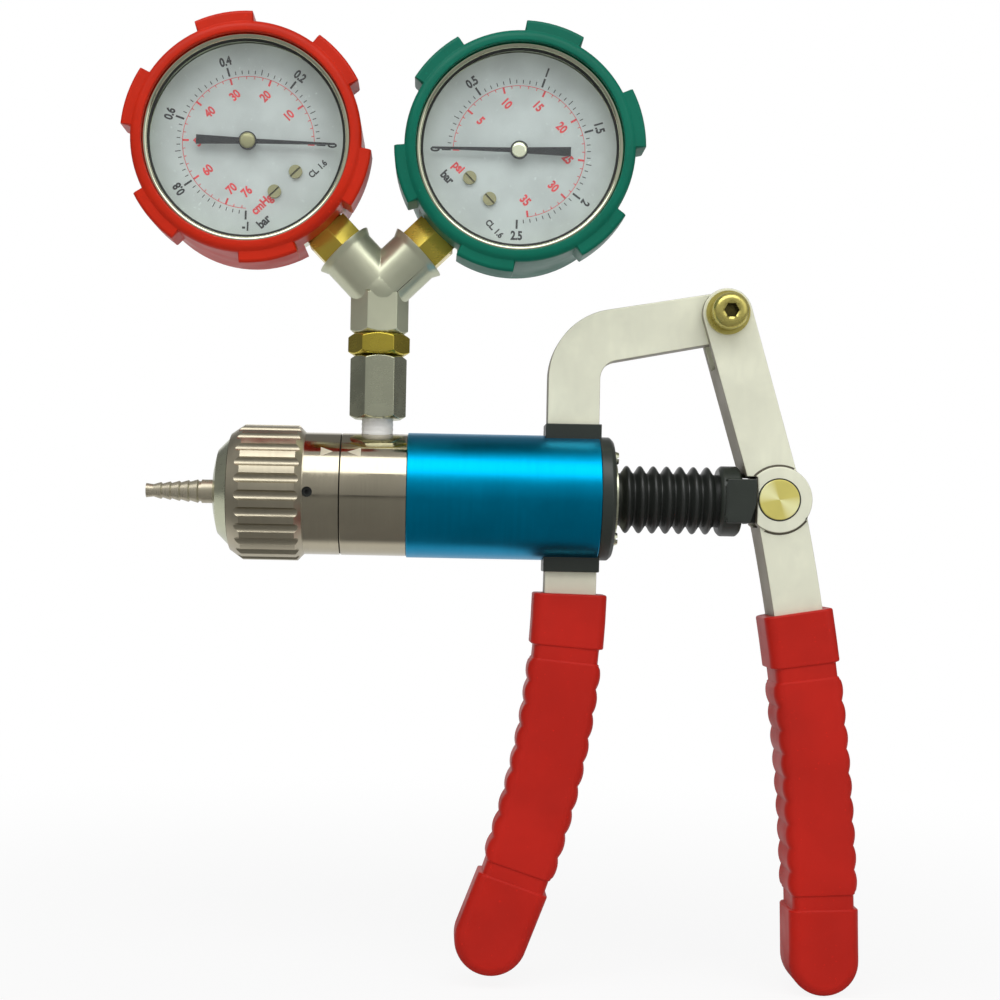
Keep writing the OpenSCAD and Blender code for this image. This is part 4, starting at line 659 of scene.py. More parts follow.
class PUMP_OT_finishes(bpy.types.Operator):
    """Makes the finishes and puts them on the solid pieces"""

    bl_idname = "pump.finishes"
    bl_label = "Finishes"

    knurl_end = 28.2 * MM
    # Solids that don't wear the plain finish of their slot
    special = {
        "nickel_polished": ("valve_body",),
        "nickel_selector": ("selector_ring",),
        "black_rubber": ("stop_screw",),
        "steel_cast": ("y_fitting",),
        "brass_turned": ("rod_pin",),
        "brass_olive": ("pivot_washers",),
        "brass_dull": ("vacuum_dial_screws", "pressure_dial_screws"),
        "brass_bright": ("vacuum_stem", "pressure_stem"),
        "chrome": ("vacuum_bezel", "pressure_bezel", "vacuum_case", "pressure_case"),
    }

    def plated(self, tone):
        nickel, steel, satin = tone["nickel"], tone["steel"], tone["satin"]
        lathe = (9000.0, 260.0, 260.0)
        # Edge colours below lighten edges, as rubbed wear and as a painted highlight
        bright = shade(nickel, 1.12)
        metal_finish("nickel", nickel, 0.3, lathe, line_depth=0.000006, metallic=0.65, wear=bright)
        to_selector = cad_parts["selector_ring"].matrix_world.inverted()
        knurl_end = (to_selector @ Vector((self.knurl_end, 0, 0))).x
        # The selector: painted shade down in its flutes
        metal_finish(
            "nickel_selector", nickel, 0.36, lathe, line_depth=0.000004, wear=bright,
            grime=shade(nickel, 0.3), polish=(knurl_end, 0.13),
        )
        metal_finish("nickel_polished", nickel, 0.11, (14000.0, 120.0, 120.0), line_depth=0.000003)
        metal_finish("steel", steel, 0.27, (300.0, 300.0, 7000.0), wear=shade(steel, 1.1))
        metal_finish(
            "steel_cast", shade(steel, 1.1), 0.36, (1400.0, 1400.0, 1400.0), line_depth=0.000006, metallic=0.7
        )
        metal_finish("chrome", shade(steel, 1.12), 0.06, (900.0, 900.0, 900.0), line_depth=0.000004)
        metal_finish("aluminium", shade(steel, 1.08), 0.35, (6000.0, 300.0, 300.0))
        # Satin bars: painted shade in recesses and on faces that don't look along y
        metal_finish(
            "satin", satin, 0.48, (2600.0, 2600.0, 700.0), metallic=0.25, line_depth=0.00001,
            wear=shade(satin, 1.1), grime=from_screen(104, 98, 82), side_shade=from_screen(150, 143, 124),
        )
        metal_finish("blue", tone["blue"], 0.33, (7000.0, 150.0, 150.0), line_depth=0.000003, smear=0.02)

    def brasses(self, brass):
        # Machined brass: painted shade down in sockets and slots
        machined = {"stretch": (400.0, 400.0, 6000.0), "line_depth": 0.000008, "grime": shade(brass, 0.05)}
        olive, olive_wear_and_highlight = from_screen(212, 200, 112), from_screen(222, 208, 120)
        metal_finish("brass", brass, 0.25, wear=shade(brass, 1.15), **machined)
        metal_finish("brass_olive", olive, 0.27, metallic=0.75, wear=olive_wear_and_highlight, **machined)
        bright, bright_wear_and_highlight = shade(brass, 1.15), shade(brass, 1.3)
        metal_finish("brass_bright", bright, 0.25, metallic=0.6, wear=bright_wear_and_highlight, **machined)
        corners = [Vector(corner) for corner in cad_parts["rod_pin"].bound_box]
        pin_middle = sum(corners, Vector()) / len(corners)
        # The rod pin: a painted highlight in two sectors, and painted shade in the gap round it
        metal_finish(
            "brass_turned", from_screen(228, 216, 118), 0.36, (2400.0, 2400.0, 2400.0), line_depth=0.0,
            metallic=0.3, round_brush=0.9, grime=from_screen(70, 62, 20),
            fan=(pin_middle, from_screen(255, 252, 190)),
        )
        # Dull brass for the dial screws and a pointer cap, with painted shade in their recesses
        dull, screw_shade = from_screen(150, 148, 112), from_screen(48, 46, 30)
        metal_finish("brass_dull", dull, 0.42, (900.0, 900.0, 900.0), grime=screw_shade)

    def mouldings(self, tone):
        # Colour, roughness, pebbles per metre, their depth, shine
        rows = {
            "black_plastic": (tone["black"], 0.4, 2600.0, 0.00003, 0.5),
            "black_rubber": (tone["rubber"], 0.38, 1900.0, 0.00004, 0.5),
            "grip_red": (tone["grip"], 0.46, 2100.0, 0.00004, 0.22),
            "boot_red": (tone["red_boot"], 0.4, 2400.0, 0.00003, 0.2),
            "boot_green": (tone["green_boot"], 0.4, 2400.0, 0.00003, 0.2),
            # Dark colour of the painted shadow lines round the lever's boss
            "grime": (from_screen(92, 87, 72), 0.6, 2200.0, 0.00004, 0.3),
            "dial_white": (tone["dial"], 0.55, 4200.0, 0.00001, 0.3),
            "pointer_black": (tone["ink_black"], 0.45, 3800.0, 0.00002, 0.3),
        }
        for name, values in rows.items():
            moulded_finish(name, *values)

    def execute(self, context):
        tones = context.scene.finishes
        tone = {name: tuple(getattr(tones, name)) for name in Finishes.__annotations__}
        self.plated(tone)
        self.brasses(tone["brass"])
        self.mouldings(tone)
        glass_finish("clear")
        print_finish("ink_black", tone["ink_black"])
        print_finish("ink_red", tone["ink_red"])
        print_finish("etched", shade(tone["nickel"], 1.1))
        tape_finish("tape_white", tone["tape"])
        chosen = {node: finish for finish, nodes in self.special.items() for node in nodes}
        for name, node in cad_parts.items():
            packed = node.data.materials[0].name.split(".")[0]
            node.material_slots[0].material = Palette.finishes[chosen.get(name, packed)]
        return {"FINISHED"}


class PUMP_OT_solid_edges(bpy.types.Operator):
    """Rounds the edges of the machined solids a little, so that they catch the light"""

    bl_idname = "pump.solid_edges"
    bl_label = "Machined edges"

    # In millimetres
    widths = {
        "fixed_handle": 0.35, "lever": 0.35, "end_housing": 0.3, "rod_end": 0.3, "cylinder_tube": 0.25,
        "gauge_adapter": 0.2, "lock_nut": 0.2, "y_fitting": 0.2, "vacuum_stem": 0.2, "pressure_stem": 0.2,
        "valve_body": 0.25, "pivot_nut": 0.15, "rod_pin": 0.3,
    }
    join_within = 2e-6
    flat_within, sharp_over = math.radians(0.2), math.radians(35)

    def execute(self, context):
        for name, width in self.widths.items():
            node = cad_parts[name]
            join = node.modifiers.new("join", "WELD")
            join.merge_threshold = self.join_within
            flat = node.modifiers.new("flat", "DECIMATE")
            flat.decimate_type = "DISSOLVE"
            flat.angle_limit = self.flat_within
            edge = node.modifiers.new("edge", "BEVEL")
            edge.width = width * MM
            edge.segments = 2
            edge.limit_method = "ANGLE"
            edge.angle_limit = self.sharp_over
            edge.use_clamp_overlap = False
            edge.harden_normals = False
            edge.miter_outer = "MITER_ARC"
            flat_faces_true(node, keep_sharp=False)
        return {"FINISHED"}


class PUMP_OT_bellows(bpy.types.Operator):
    """Folded rubber bellows over the rod"""

    bl_idname = "pump.bellows"
    bl_label = "Bellows"

    fold_steps = 14
    around = 96
    crest_shape = 0.8
    reach = 3 * MM

    def execute(self, context):
        sizes = context.scene.rubber_sizes
        low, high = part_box("bellows")
        start, stop, reach = low.x, high.x, self.reach
        root = sizes.fold_radius - sizes.fold_depth
        pitch = (stop - start - 2 * sizes.cuff) / sizes.folds
        outer = [(root, start)]
        for i in range(sizes.folds * self.fold_steps + 1):
            swell = (0.5 - 0.5 * math.cos(FULL_TURN * i / self.fold_steps)) ** self.crest_shape
            outer.append((root + sizes.fold_depth * swell, start + sizes.cuff + pitch * i / self.fold_steps))
        outer.append((root, stop))
        inner = [(r - sizes.fold_wall, x) for r, x in reversed(outer)]
        piece = add_skin(
            "rod_bellows", turned(outer + inner, self.around, along_pump), 75,
            "black_rubber", "black_rubber", stands_for=("bellows",), close_rows=True,
        )
        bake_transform(piece)
        return {"FINISHED"}


class PUMP_OT_return_spring(bpy.types.Operator):
    """Coiled return spring inside the bellows"""

    bl_idname = "pump.return_spring"
    bl_label = "Return spring"

    rings = 36
    sides = 12

    def execute(self, context):
        sizes = context.scene.rubber_sizes
        low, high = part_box("return_spring")
        wire = sizes.spring_wire
        start, stop = low.x + wire, high.x - wire
        count = sizes.spring_turns * self.rings
        rows = []
        for i in range(count + 1):
            a = FULL_TURN * i / self.rings
            x = start + (stop - start) * i / count
            row = []
            for b in once_round(self.sides):
                r = sizes.spring_radius + wire * math.cos(b)
                row.append((x + wire * math.sin(b), r * math.cos(a), r * math.sin(a)))
            rows.append(row)
        piece = add_skin(
            "return_coil", rows, 60, "steel", "steel", stands_for=("return_spring",),
            cap_first=True, cap_last=True,
        )
        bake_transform(piece)
        return {"FINISHED"}


def rounded_half(half_w, half_t, corner, shift=0.0):
    """Half of a rounded rectangle, from the middle of its back round its side to the middle of its front.

    The side is moved out by shift, which dies away round the corners.
    """
    low = []
    for a in quarter_arc(8):
        moved = shift * math.sin(a) ** 2
        low.append((half_w - corner + corner * math.sin(a) + moved, -half_t + corner - corner * math.cos(a)))
    side = [(half_w + shift, 0.0)]
    high = [(w, -t) for w, t in reversed(low)]
    inset = (half_w - corner) * 0.6
    return [(0.0, -half_t), (inset, -half_t)] + low + side + high + [(inset, half_t), (0.0, half_t)]


class GripPath:
    """A grip's curved middle line, in the upright plane of the handles."""

    def __init__(self, centre, radius, first_angle):
        self.centre, self.radius, self.first = centre, radius, first_angle

    def spot(self, s, across, through):
        a = self.first - s / self.radius
        r = self.radius + across
        return (self.centre[0] + r * math.cos(a), through, self.centre[1] + r * math.sin(a))

    def ring(self, s, half):
        """A full ring of points from a half section at a distance s along the grip."""
        near = [self.spot(s, w, t) for w, t in half]
        far = [self.spot(s, -w, t) for w, t in reversed(half[1:-1])]
        return near + far

    def end_row(self, s, half, turn):
        """A half section turned round the grip's rounded end."""
        a = self.first - s / self.radius
        out = Vector((math.cos(a), 0, math.sin(a)))
        on = Vector((math.sin(a), 0, -math.cos(a)))
        hub = Vector(self.spot(s, 0, 0))
        return [hub + (out * math.cos(turn) + on * math.sin(turn)) * w + Vector((0, t, 0)) for w, t in half]


def moulded_step(at, up=False):
    """A rounded step round a grip as (distance, depth), the depth going from 0 to 1, or from 1 to 0 if up."""
    down = ((-0.55, 0.0), (-0.22, 0.07), (-0.05, 0.26), (0.0, 0.5), (0.04, 0.78), (0.14, 0.93), (0.4, 1.0))
    if up:
        down = [(-off, depth) for off, depth in reversed(down)]
    return [(at + off * MM, depth) for off, depth in down]


class PUMP_OT_grips(bpy.types.Operator):
    """Red vinyl grips: a band, grooves, finger ridges and a rounded end"""

    bl_idname = "pump.grips"
    bl_label = "Grips"

    ridge_steps, end_steps, bore_steps = 12, 28, 12
    # (distance, drawing in) of the rounded lip at the mouth, in millimetres
    lip = ((0.0, 0.6), (0.1, 0.28), (0.35, 0.06), (0.7, 0.0))
    fit, bore_corner, mouth, flare, flare_corner = 0.05 * MM, 0.3 * MM, 0.25 * MM, 0.3 * MM, 0.5 * MM
    ridge_margin = 0.6 * MM

    def stations(self, sizes, round_end):
        """(distance, depth of a groove, shift of the sides) down a grip, to where its round end starts."""
        slim = sizes.groove_depth - sizes.groove_front
        first, last = sizes.band, sizes.band + sizes.groove
        ridge_end = last + sizes.ridges * sizes.ridge_pitch

        def groove_side(at, up, least):
            steps = moulded_step(at, up)
            return [(s, depth * sizes.groove_front, -max(slim * depth, least)) for s, depth in steps]

        out = [(first / 2, 0.0, 0.0)]
        out += groove_side(first, False, 0.0)
        out += groove_side(last, True, sizes.ridge_rise)
        bulge = ((sizes.ridge_pitch / 2) ** 2 + sizes.ridge_rise ** 2) / (2 * sizes.ridge_rise)
        for i in range(1, sizes.ridges * self.ridge_steps):
            s = last + i * sizes.ridge_pitch / self.ridge_steps
            off = (i % self.ridge_steps / self.ridge_steps - 0.5) * sizes.ridge_pitch
            if last + self.ridge_margin < s < ridge_end - self.ridge_margin:
                out.append((s, 0.0, math.sqrt(bulge * bulge - off * off) - bulge))
        out += groove_side(ridge_end, False, sizes.ridge_rise)
        out += groove_side(ridge_end + sizes.groove, True, 0.0)
        out.append((round_end, 0.0, 0.0))
        return out

    def end_faces(self, base, per_row):
        """Faces of the rounded end, whose rows all meet at their first and last points."""
        faces = []
        for k in range(self.end_steps):
            for i in range(per_row - 1):
                a, b = base + k * per_row + i, base + (k + 1) * per_row + i
                if i == 0:
                    faces.append((a, a + 1, b + 1))
                elif i == per_row - 2:
                    faces.append((a, a + 1, b))
                else:
                    faces.append((a, a + 1, b + 1, b))
        return faces

    def grip(self, context, name, node, body, path, w, t, total, bar, bar_end):
        sizes = context.scene.rubber_sizes
        corner = sizes.grip_corner
        half_bar, deep = (bar[0] / 2, bar[1] / 2), bar_end + self.fit
        bore = rounded_half(half_bar[0] + self.fit, half_bar[1] + self.fit, self.bore_corner)
        rows = []
        for k in range(self.bore_steps + 1):
            rows.append(path.ring(deep - (deep - self.mouth) * k / self.bore_steps, bore))
        flared = rounded_half(half_bar[0] + self.flare, half_bar[1] + self.flare, self.flare_corner)
        rows.append(path.ring(0.0, flared))
        for s, drawn_in in self.lip:
            s, drawn_in = s * MM, drawn_in * MM
            rows.append(path.ring(s, rounded_half(w / 2 - drawn_in, t / 2 - drawn_in, corner)))
        for s, depth, shift in self.stations(sizes, total - w / 2):
            rows.append(path.ring(s, rounded_half(w / 2 - depth, t / 2 - depth, corner, shift)))
        points, faces = loft(rows, cap_first=True)
        half = rounded_half(w / 2, t / 2, corner)
        faces += self.end_faces(len(points), len(half))
        for k in range(self.end_steps + 1):
            points += path.end_row(total - w / 2, half, math.pi * k / self.end_steps)
        piece = add_piece(build_mesh(name, points, faces, 50), "grip_red", body, (node,))
        flat_faces_true(piece)

    def execute(self, context):
        # The fixed handle's lower arm: radius, height of its start, place of the bar, start of the grip
        bend_r, bend_z, bar_x, drop = 290 * MM, -23 * MM, 109.05 * MM, 6 * MM
        fixed = GripPath((bar_x - bend_r, bend_z), bend_r, -drop / bend_r)
        self.grip(
            context, "fixed_handle_grip", "fixed_grip", "pump", fixed,
            w=22.2 * MM, t=16 * MM, total=119 * MM, bar=(15.7 * MM, 8 * MM), bar_end=108 * MM,
        )
        # The lever's lower arm: radius, lean at the rod pin, start of the grip, and the pin
        lower_r, lean, drop = 715 * MM, math.radians(12.3), 34.5 * MM
        pin = (171.1 * MM, 0.6 * MM)
        centre = (pin[0] - lower_r * math.cos(lean), pin[1] - lower_r * math.sin(lean))
        moving = GripPath(centre, lower_r, lean - drop / lower_r)
        self.grip(
            context, "lever_handle_grip", "lever_grip", "lever", moving,
            w=21 * MM, t=19.5 * MM, total=116 * MM, bar=(14.8 * MM, 15 * MM), bar_end=101 * MM,
        )
        return {"FINISHED"}


class PUMP_OT_boots(bpy.types.Operator):
    """Rubber boots round the two gauges, with six flat lobes each and a notch for the stem"""

    bl_idname = "pump.boots"
    bl_label = "Gauge boots"

    lobes, arc_steps, lobe_steps, gap_steps = 6, 5, 8, 9
    # (degrees from the lobe's side, share of its height)
    lobe_edge = ((-1.1, 0.0), (-0.85, 0.12), (-0.55, 0.5), (-0.25, 0.9), (0.0, 1.0))
    back, lobe_back, lobe_front, front = -16.75 * MM, 6.0 * MM, 19.6 * MM, 20.6 * MM
    case_radius, case_back, case_front, back_opening = 31.45 * MM, -14.55 * MM, 18.45 * MM, 26.4 * MM
    lobe_soft, lip, sunk, step = 1.1 * MM, 0.45 * MM, 0.2 * MM, 0.1 * MM
    # Half width, far and near edge, back and front
    notch = (8.38 * MM, -35.2 * MM, -18.1 * MM, -17.75 * MM, 8.38 * MM)

    def profile(self, sizes, lobe):
        """Closed section as (radius, height): plain between the lobes, or through a lobe.

        Both have the same count of points, so that one can pass into the other.
        """
        r, edge, far, soft = sizes.boot_radius, sizes.boot_edge, sizes.lobe_radius, self.lobe_soft
        arc = quarter_arc(self.arc_steps)

        def back_corner(r, z, soft):
            return [(r - soft + soft * math.sin(a), z + soft - soft * math.cos(a)) for a in arc]

        def front_corner(r, z, soft, first=0):
            return [(r - soft + soft * math.cos(a), z - soft + soft * math.sin(a)) for a in arc[first:]]

        points = [(self.back_opening, self.back), (r - edge * 2, self.back)]
        points += back_corner(r, self.back, edge)
        if lobe:
            points.append((r, self.lobe_back))
            points += back_corner(far, self.lobe_back, soft) + front_corner(far, self.lobe_front, soft)
            points += [(r - self.sunk, self.lobe_front)] * 3
            points += front_corner(r, self.front, edge, first=2)
        else:
            count = self.arc_steps + 1
            points.append((r, self.lobe_back - self.sunk))
            points += [(r, self.lobe_back + self.step * k) for k in range(count)]
            points += [(r, self.front - edge - self.step * (count + 1 - k)) for k in range(count)]
            points.append((r, self.front - edge - self.step / 2))
            points += front_corner(r, self.front, edge)
        lip, open_r = self.lip, sizes.boot_opening
        points += [(open_r + lip - lip * math.sin(a), self.front - lip + lip * math.cos(a)) for a in arc]
        points += [(open_r, self.case_front), (self.case_radius, self.case_front)]
        points += [(self.case_radius, self.case_back), (self.back_opening, self.case_back)]
        return points

    def columns(self, sizes):
        """(angle in degrees, share of the lobe) once round."""
        half = math.degrees(sizes.lobe_width) / 2
        pitch = 360 / self.lobes
        out = []
        for i in range(self.lobes):
            middle = i * pitch
            rising = [(middle - half + off, share) for off, share in self.lobe_edge]
            falling = [(2 * middle - a, share) for a, share in reversed(rising)]
            steps = range(1, self.lobe_steps)
            across = [(middle - half + 2 * half * k / self.lobe_steps, 1.0) for k in steps]
            start, stop = falling[-1][0], middle + pitch - half + self.lobe_edge[0][0]
            steps = range(1, self.gap_steps)
            between = [(start + (stop - start) * k / self.gap_steps, 0.0) for k in steps]
            out += rising + across + falling + between
        return out

    def notch_tool(self, place, finish):
        half, y0, y1, z0, z1 = self.notch
        flat = ((-half, y0), (half, y0), (half, y1), (-half, y1))
        rows = [[place(x, y, z) for x, y in flat] for z in (z0, z1)]
        return add_skin("notch_tool", rows, 40, finish, cap_first=True, cap_last=True)

    def execute(self, context):
        sizes = context.scene.rubber_sizes
        turn_by = {"vacuum": context.scene.gauge_sizes.vacuum_lobe_turn, "pressure": 0.0}
        plain, raised = self.profile(sizes, False), self.profile(sizes, True)
        for gauge, slot in (("vacuum", "boot_red"), ("pressure", "boot_green")):
            place = gauge_place(context, gauge)
            rows = []
            for a, share in self.columns(sizes):
                a = math.radians(a) + turn_by[gauge]
                row = []
                for (r0, z0), (r1, z1) in zip(plain, raised):
                    r, z = r0 + (r1 - r0) * share, z0 + (z1 - z0) * share
                    row.append(place(r * math.cos(a), r * math.sin(a), z))
                rows.append(row)
            boot = add_skin(gauge + "_gauge_boot", rows, 40, slot, slot, close_rows=True)
            self.cut(context, boot, self.notch_tool(place, slot))
            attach(boot, "pump")
            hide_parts(gauge + "_boot")
            flat_faces_true(boot)
        return {"FINISHED"}

    def cut(self, context, piece, tool):
        """Takes the tool's form out of the piece, then does away with the tool."""
        away = piece.modifiers.new("notch", "BOOLEAN")
        away.operation = "DIFFERENCE"
        away.solver = "EXACT"
        away.object = tool
        context.view_layer.update()
        seen = piece.evaluated_get(context.evaluated_depsgraph_get())
        mesh = bpy.data.meshes.new_from_object(seen)
        if len(mesh.polygons) < len(piece.data.polygons) // 2:
            raise RuntimeError("the notch of " + piece.name + " could not be cut")
        piece.modifiers.remove(away)
        old = piece.data
        mesh.name = piece.name
        piece.data = mesh
        bpy.data.meshes.remove(old)
        shape = tool.data
        bpy.data.objects.remove(tool)
        bpy.data.meshes.remove(shape)
        smooth_mesh(mesh, 40)


class Artwork:
    """Flat print for one dial in one colour."""

    letter_steps, boldness = 5, 0.042

    def __init__(self, place, height):
        self.place, self.height = place, height
        self.points, self.faces = [], []

    def add(self, points, faces):
        base = len(self.points)
        self.points += points
        self.faces += [tuple(base + i for i in face) for face in faces]

    def tick(self, a, inner, outer, width):
        """A line along the radius at angle a."""
        c, s, h = math.cos(a), math.sin(a), width / 2
        flat = ((inner, -h), (outer, -h), (outer, h), (inner, h))
        self.add([self.place(r * c - w * s, r * s + w * c, self.height) for r, w in flat], [(0, 1, 2, 3)])

    def arc(self, first, last, inner, outer, steps):
        points, faces = [], []
        for k in range(steps + 1):
            a = first + (last - first) * k / steps
            for r in (inner, outer):
                points.append(self.place(r * math.cos(a), r * math.sin(a), self.height))
        for k in range(steps):
            faces.append((2 * k, 2 * k + 1, 2 * k + 3, 2 * k + 2))
        self.add(points, faces)

    def letters(self, text, x, y, turn, size, narrow):
        """Words or numbers set round a spot, with their tops turned by turn from the dial's own up."""
        curve = bpy.data.curves.new("lettering", "FONT")
        curve.body = text
        curve.size = size
        curve.align_x, curve.align_y = "CENTER", "CENTER"
        curve.offset = size * self.boldness
        curve.resolution_u = self.letter_steps
        sheet = bpy.data.objects.new("lettering", curve)
        bpy.context.scene.collection.objects.link(sheet)
        bpy.context.view_layer.update()
        mesh = sheet.evaluated_get(bpy.context.evaluated_depsgraph_get()).to_mesh()
        high = [v.co.y for v in mesh.vertices]
        wide = [v.co.x for v in mesh.vertices]
        mid_x, mid_y = (max(wide) + min(wide)) / 2, (max(high) + min(high)) / 2
        c, s = math.cos(turn), math.sin(turn)
        points = []
        for v in mesh.vertices:
            u, w = (v.co.x - mid_x) * narrow, v.co.y - mid_y
            points.append(self.place(x + u * c - w * s, y + u * s + w * c, self.height))
        self.add(points, [tuple(face.vertices) for face in mesh.polygons])
        bpy.data.objects.remove(sheet)
        bpy.data.curves.remove(curve)

    def piece(self, name, finish):
        mesh = bpy.data.meshes.new(name)
        mesh.from_pydata(self.points, [], self.faces)
        mesh.validate()
        shape = bmesh.new()
        shape.from_mesh(mesh)
        shape.normal_update()
        bmesh.ops.reverse_faces(shape, faces=[face for face in shape.faces if face.normal.y > 0])
        shape.to_mesh(mesh)
        shape.free()
        return add_piece(mesh, finish, body="pump")


class PUMP_OT_dial_print(bpy.types.Operator):
    """Scales, numbers and unit words printed on the two dials"""

    bl_idname = "pump.dial_print"
    bl_label = "Dial print"

    black_line, red_line, main_line, red_rim = 0.26 * MM, 0.24 * MM, 0.6 * MM, 0.18 * MM
    half_tick = 0.6 * MM
    rim_steps = 200
    class_size, number_width, word_width = 0.72, 0.8, 0.85
    # Angle of the zero in degrees, and 1 for a scale that runs anticlockwise
    zeros = {"vacuum": (-45, 1), "pressure": (225, -1)}
    # Full scale, black numbers, black short step, red unit in black units, red numbers, red short step
    scales = {
        "vacuum": (
            1.0, ("0", "0.2", "0.4", "0.6", "0.8", "-1"), 0.02,
            1 / 75.006, (10, 20, 30, 40, 50, 60, 70, 76), 2,
        ),
        "pressure": (
            2.5, ("0", "0.5", "1", "1.5", "2", "2.5"), 0.05,
            0.0689476, (5, 10, 15, 20, 25, 30, 35), 1,
        ),
    }
    # Word, middle across, middle up, ink
    words = {
        "vacuum": (
            ("bar", -12.7, -20.4, "ink_black"), ("cmHg", -9.6, -16.6, "ink_red"),
            ("CL. 1.6", 9.8, -19.9, "ink_black"),
        ),
        "pressure": (
            ("bar", -9.0, -20.8, "ink_black"), ("psi", -9.0, -16.7, "ink_red"),
            ("CL. 1.6", 11.8, -21.1, "ink_black"),
        ),
    }

    def black_scale(self, art, sizes, at, full, numbers, short):
        ticks = round(full / short)
        per_number = ticks // (len(numbers) - 1)
        for i in range(ticks + 1):
            main = i % per_number == 0
            half = i % (per_number // 2) == 0
            outer = sizes.main_outer if main else sizes.tick_outer + (self.half_tick if half else 0)
            art.tick(at(i * short), sizes.tick_inner, outer, self.main_line if main else self.black_line)
        for i, text in enumerate(numbers):
            a = at(full * i / (len(numbers) - 1))
            # Tops outward over the upper half of the dial, inward below
            turn = a - QUARTER_TURN if math.sin(a) >= 0 else a + QUARTER_TURN
            self.number(art, text, a, sizes.number_radius, turn, sizes.number_height)

    def red_scale(self, art, sizes, at, full, unit, numbers, step, last):
        art.arc(
            at(0), at(min(full, last * unit)), sizes.red_outer - self.red_rim, sizes.red_outer, self.rim_steps
        )
        for i in range(int(last / step) + 1):
            value = i * step
            main = value in numbers or value == 0
            inner = sizes.red_main if main else sizes.red_short
            art.tick(at(value * unit), inner, sizes.red_outer, self.main_line if main else self.red_line)
        for value in numbers:
            a = at(min(full, value * unit))
            self.number(art, str(value), a, sizes.red_number_radius, 0.0, sizes.number_height)

    def number(self, art, text, a, radius, turn, size):
        art.letters(text, radius * math.cos(a), radius * math.sin(a), turn, size, self.number_width)

    def execute(self, context):
        sizes = context.scene.gauge_sizes
        for gauge in GAUGES:
            full, numbers, short, unit, red_numbers, red_step = self.scales[gauge]
            place = gauge_place(context, gauge)
            top = place.dial_front + sizes.ink
            black, red = Artwork(place, top), Artwork(place, top)
            zero, way = self.zeros[gauge]

            def at(value):
                return math.radians(zero) + way * sizes.sweep * value / full

            # The vacuum gauge's red scale runs on to the end of the black one
            last_red = red_numbers[-1] if gauge == "pressure" else full / unit
            self.black_scale(black, sizes, at, full, numbers, short)
            self.red_scale(red, sizes, at, full, unit, red_numbers, red_step, last_red)
            for text, x, y, ink in self.words[gauge]:
                art = black if ink == "ink_black" else red
                size = sizes.number_height * (self.class_size if text.startswith("CL") else 1.0)
                art.letters(text, x * MM, y * MM, 0.0, size, self.word_width)
            black.piece(gauge + "_black_print", "ink_black")
            red.piece(gauge + "_red_print", "ink_red")
        return {"FINISHED"}


class PUMP_OT_pointer_caps(bpy.types.Operator):
    """Small turned buttons on the hubs of the pointers"""

    bl_idname = "pump.pointer_caps"
    bl_label = "Pointer caps"

    around = 40
    # (radius, height over the hub's front) in millimetres
    button = ((0.0, 0.75), (0.9, 0.72), (1.7, 0.6), (2.2, 0.35), (2.4, 0.05), (2.4, -0.25), (0.0, -0.25))
    finishes = {"vacuum": ("brass_dull", "brass"), "pressure": ("chrome", "steel")}

    def execute(self, context):
        for gauge in GAUGES:
            front = -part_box(gauge + "_pointer")[0].y
            profile = [(r * MM, front + z * MM) for r, z in self.button]
            rows = turned(profile, self.around, gauge_place(context, gauge))
            add_skin(gauge + "_pointer_cap", rows, 50, *self.finishes[gauge], gauge + "_needle")
        return {"FINISHED"}


class PUMP_OT_bezels(bpy.types.Operator):
    """Rolled bright rings that hold the windows, and a thin black ring inside each"""

    bl_idname = "pump.bezels"
    bl_label = "Bezels"

    crown_steps, around = 14, 128
    width, rise = 2.2 * MM, 1.3 * MM
    # Room round and in front of the pane
    pane_side, pane_gap = 0.05 * MM, 0.02 * MM
    # (radius against the bezel's opening, height over the pane) in millimetres
    gasket = ((0.0, 0.0), (-0.6, 0.0), (-0.52, 0.3), (-0.28, 0.42), (0.0, 0.42))

    def execute(self, context):
        for gauge in GAUGES:
            place, rise = gauge_place(context, gauge), self.rise
            low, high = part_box(gauge + "_bezel")
            outer, front, back = (high.x - low.x) / 2, -low.y, -high.y
            inner = outer - self.width
            half, middle = (outer - inner) / 2, (outer + inner) / 2
            low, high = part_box(gauge + "_window")
            pane_r, pane_front = (high.x - low.x) / 2 + self.pane_side, -low.y + self.pane_gap
            profile = [(pane_r, back), (pane_r, pane_front), (inner, pane_front)]
            for k in range(self.crown_steps + 1):
                a = math.pi * (1 - k / self.crown_steps)
                profile.append((middle + half * math.cos(a), front - rise + rise * math.sin(a)))
            profile.append((outer, back))
            add_skin(
                gauge + "_rolled_bezel", turned(profile, self.around, place), 50,
                "chrome", "steel", "pump", (gauge + "_bezel",), close_rows=True,
            )
            # A thin black ring along the edge of the pane, inside the bezel
            lip = [(inner + r * MM, pane_front + z * MM) for r, z in self.gasket]
            add_skin(
                gauge + "_window_gasket", turned(lip, self.around, place), 50,
                "black_rubber", "black_rubber", "pump", close_rows=True,
            )
        return {"FINISHED"}


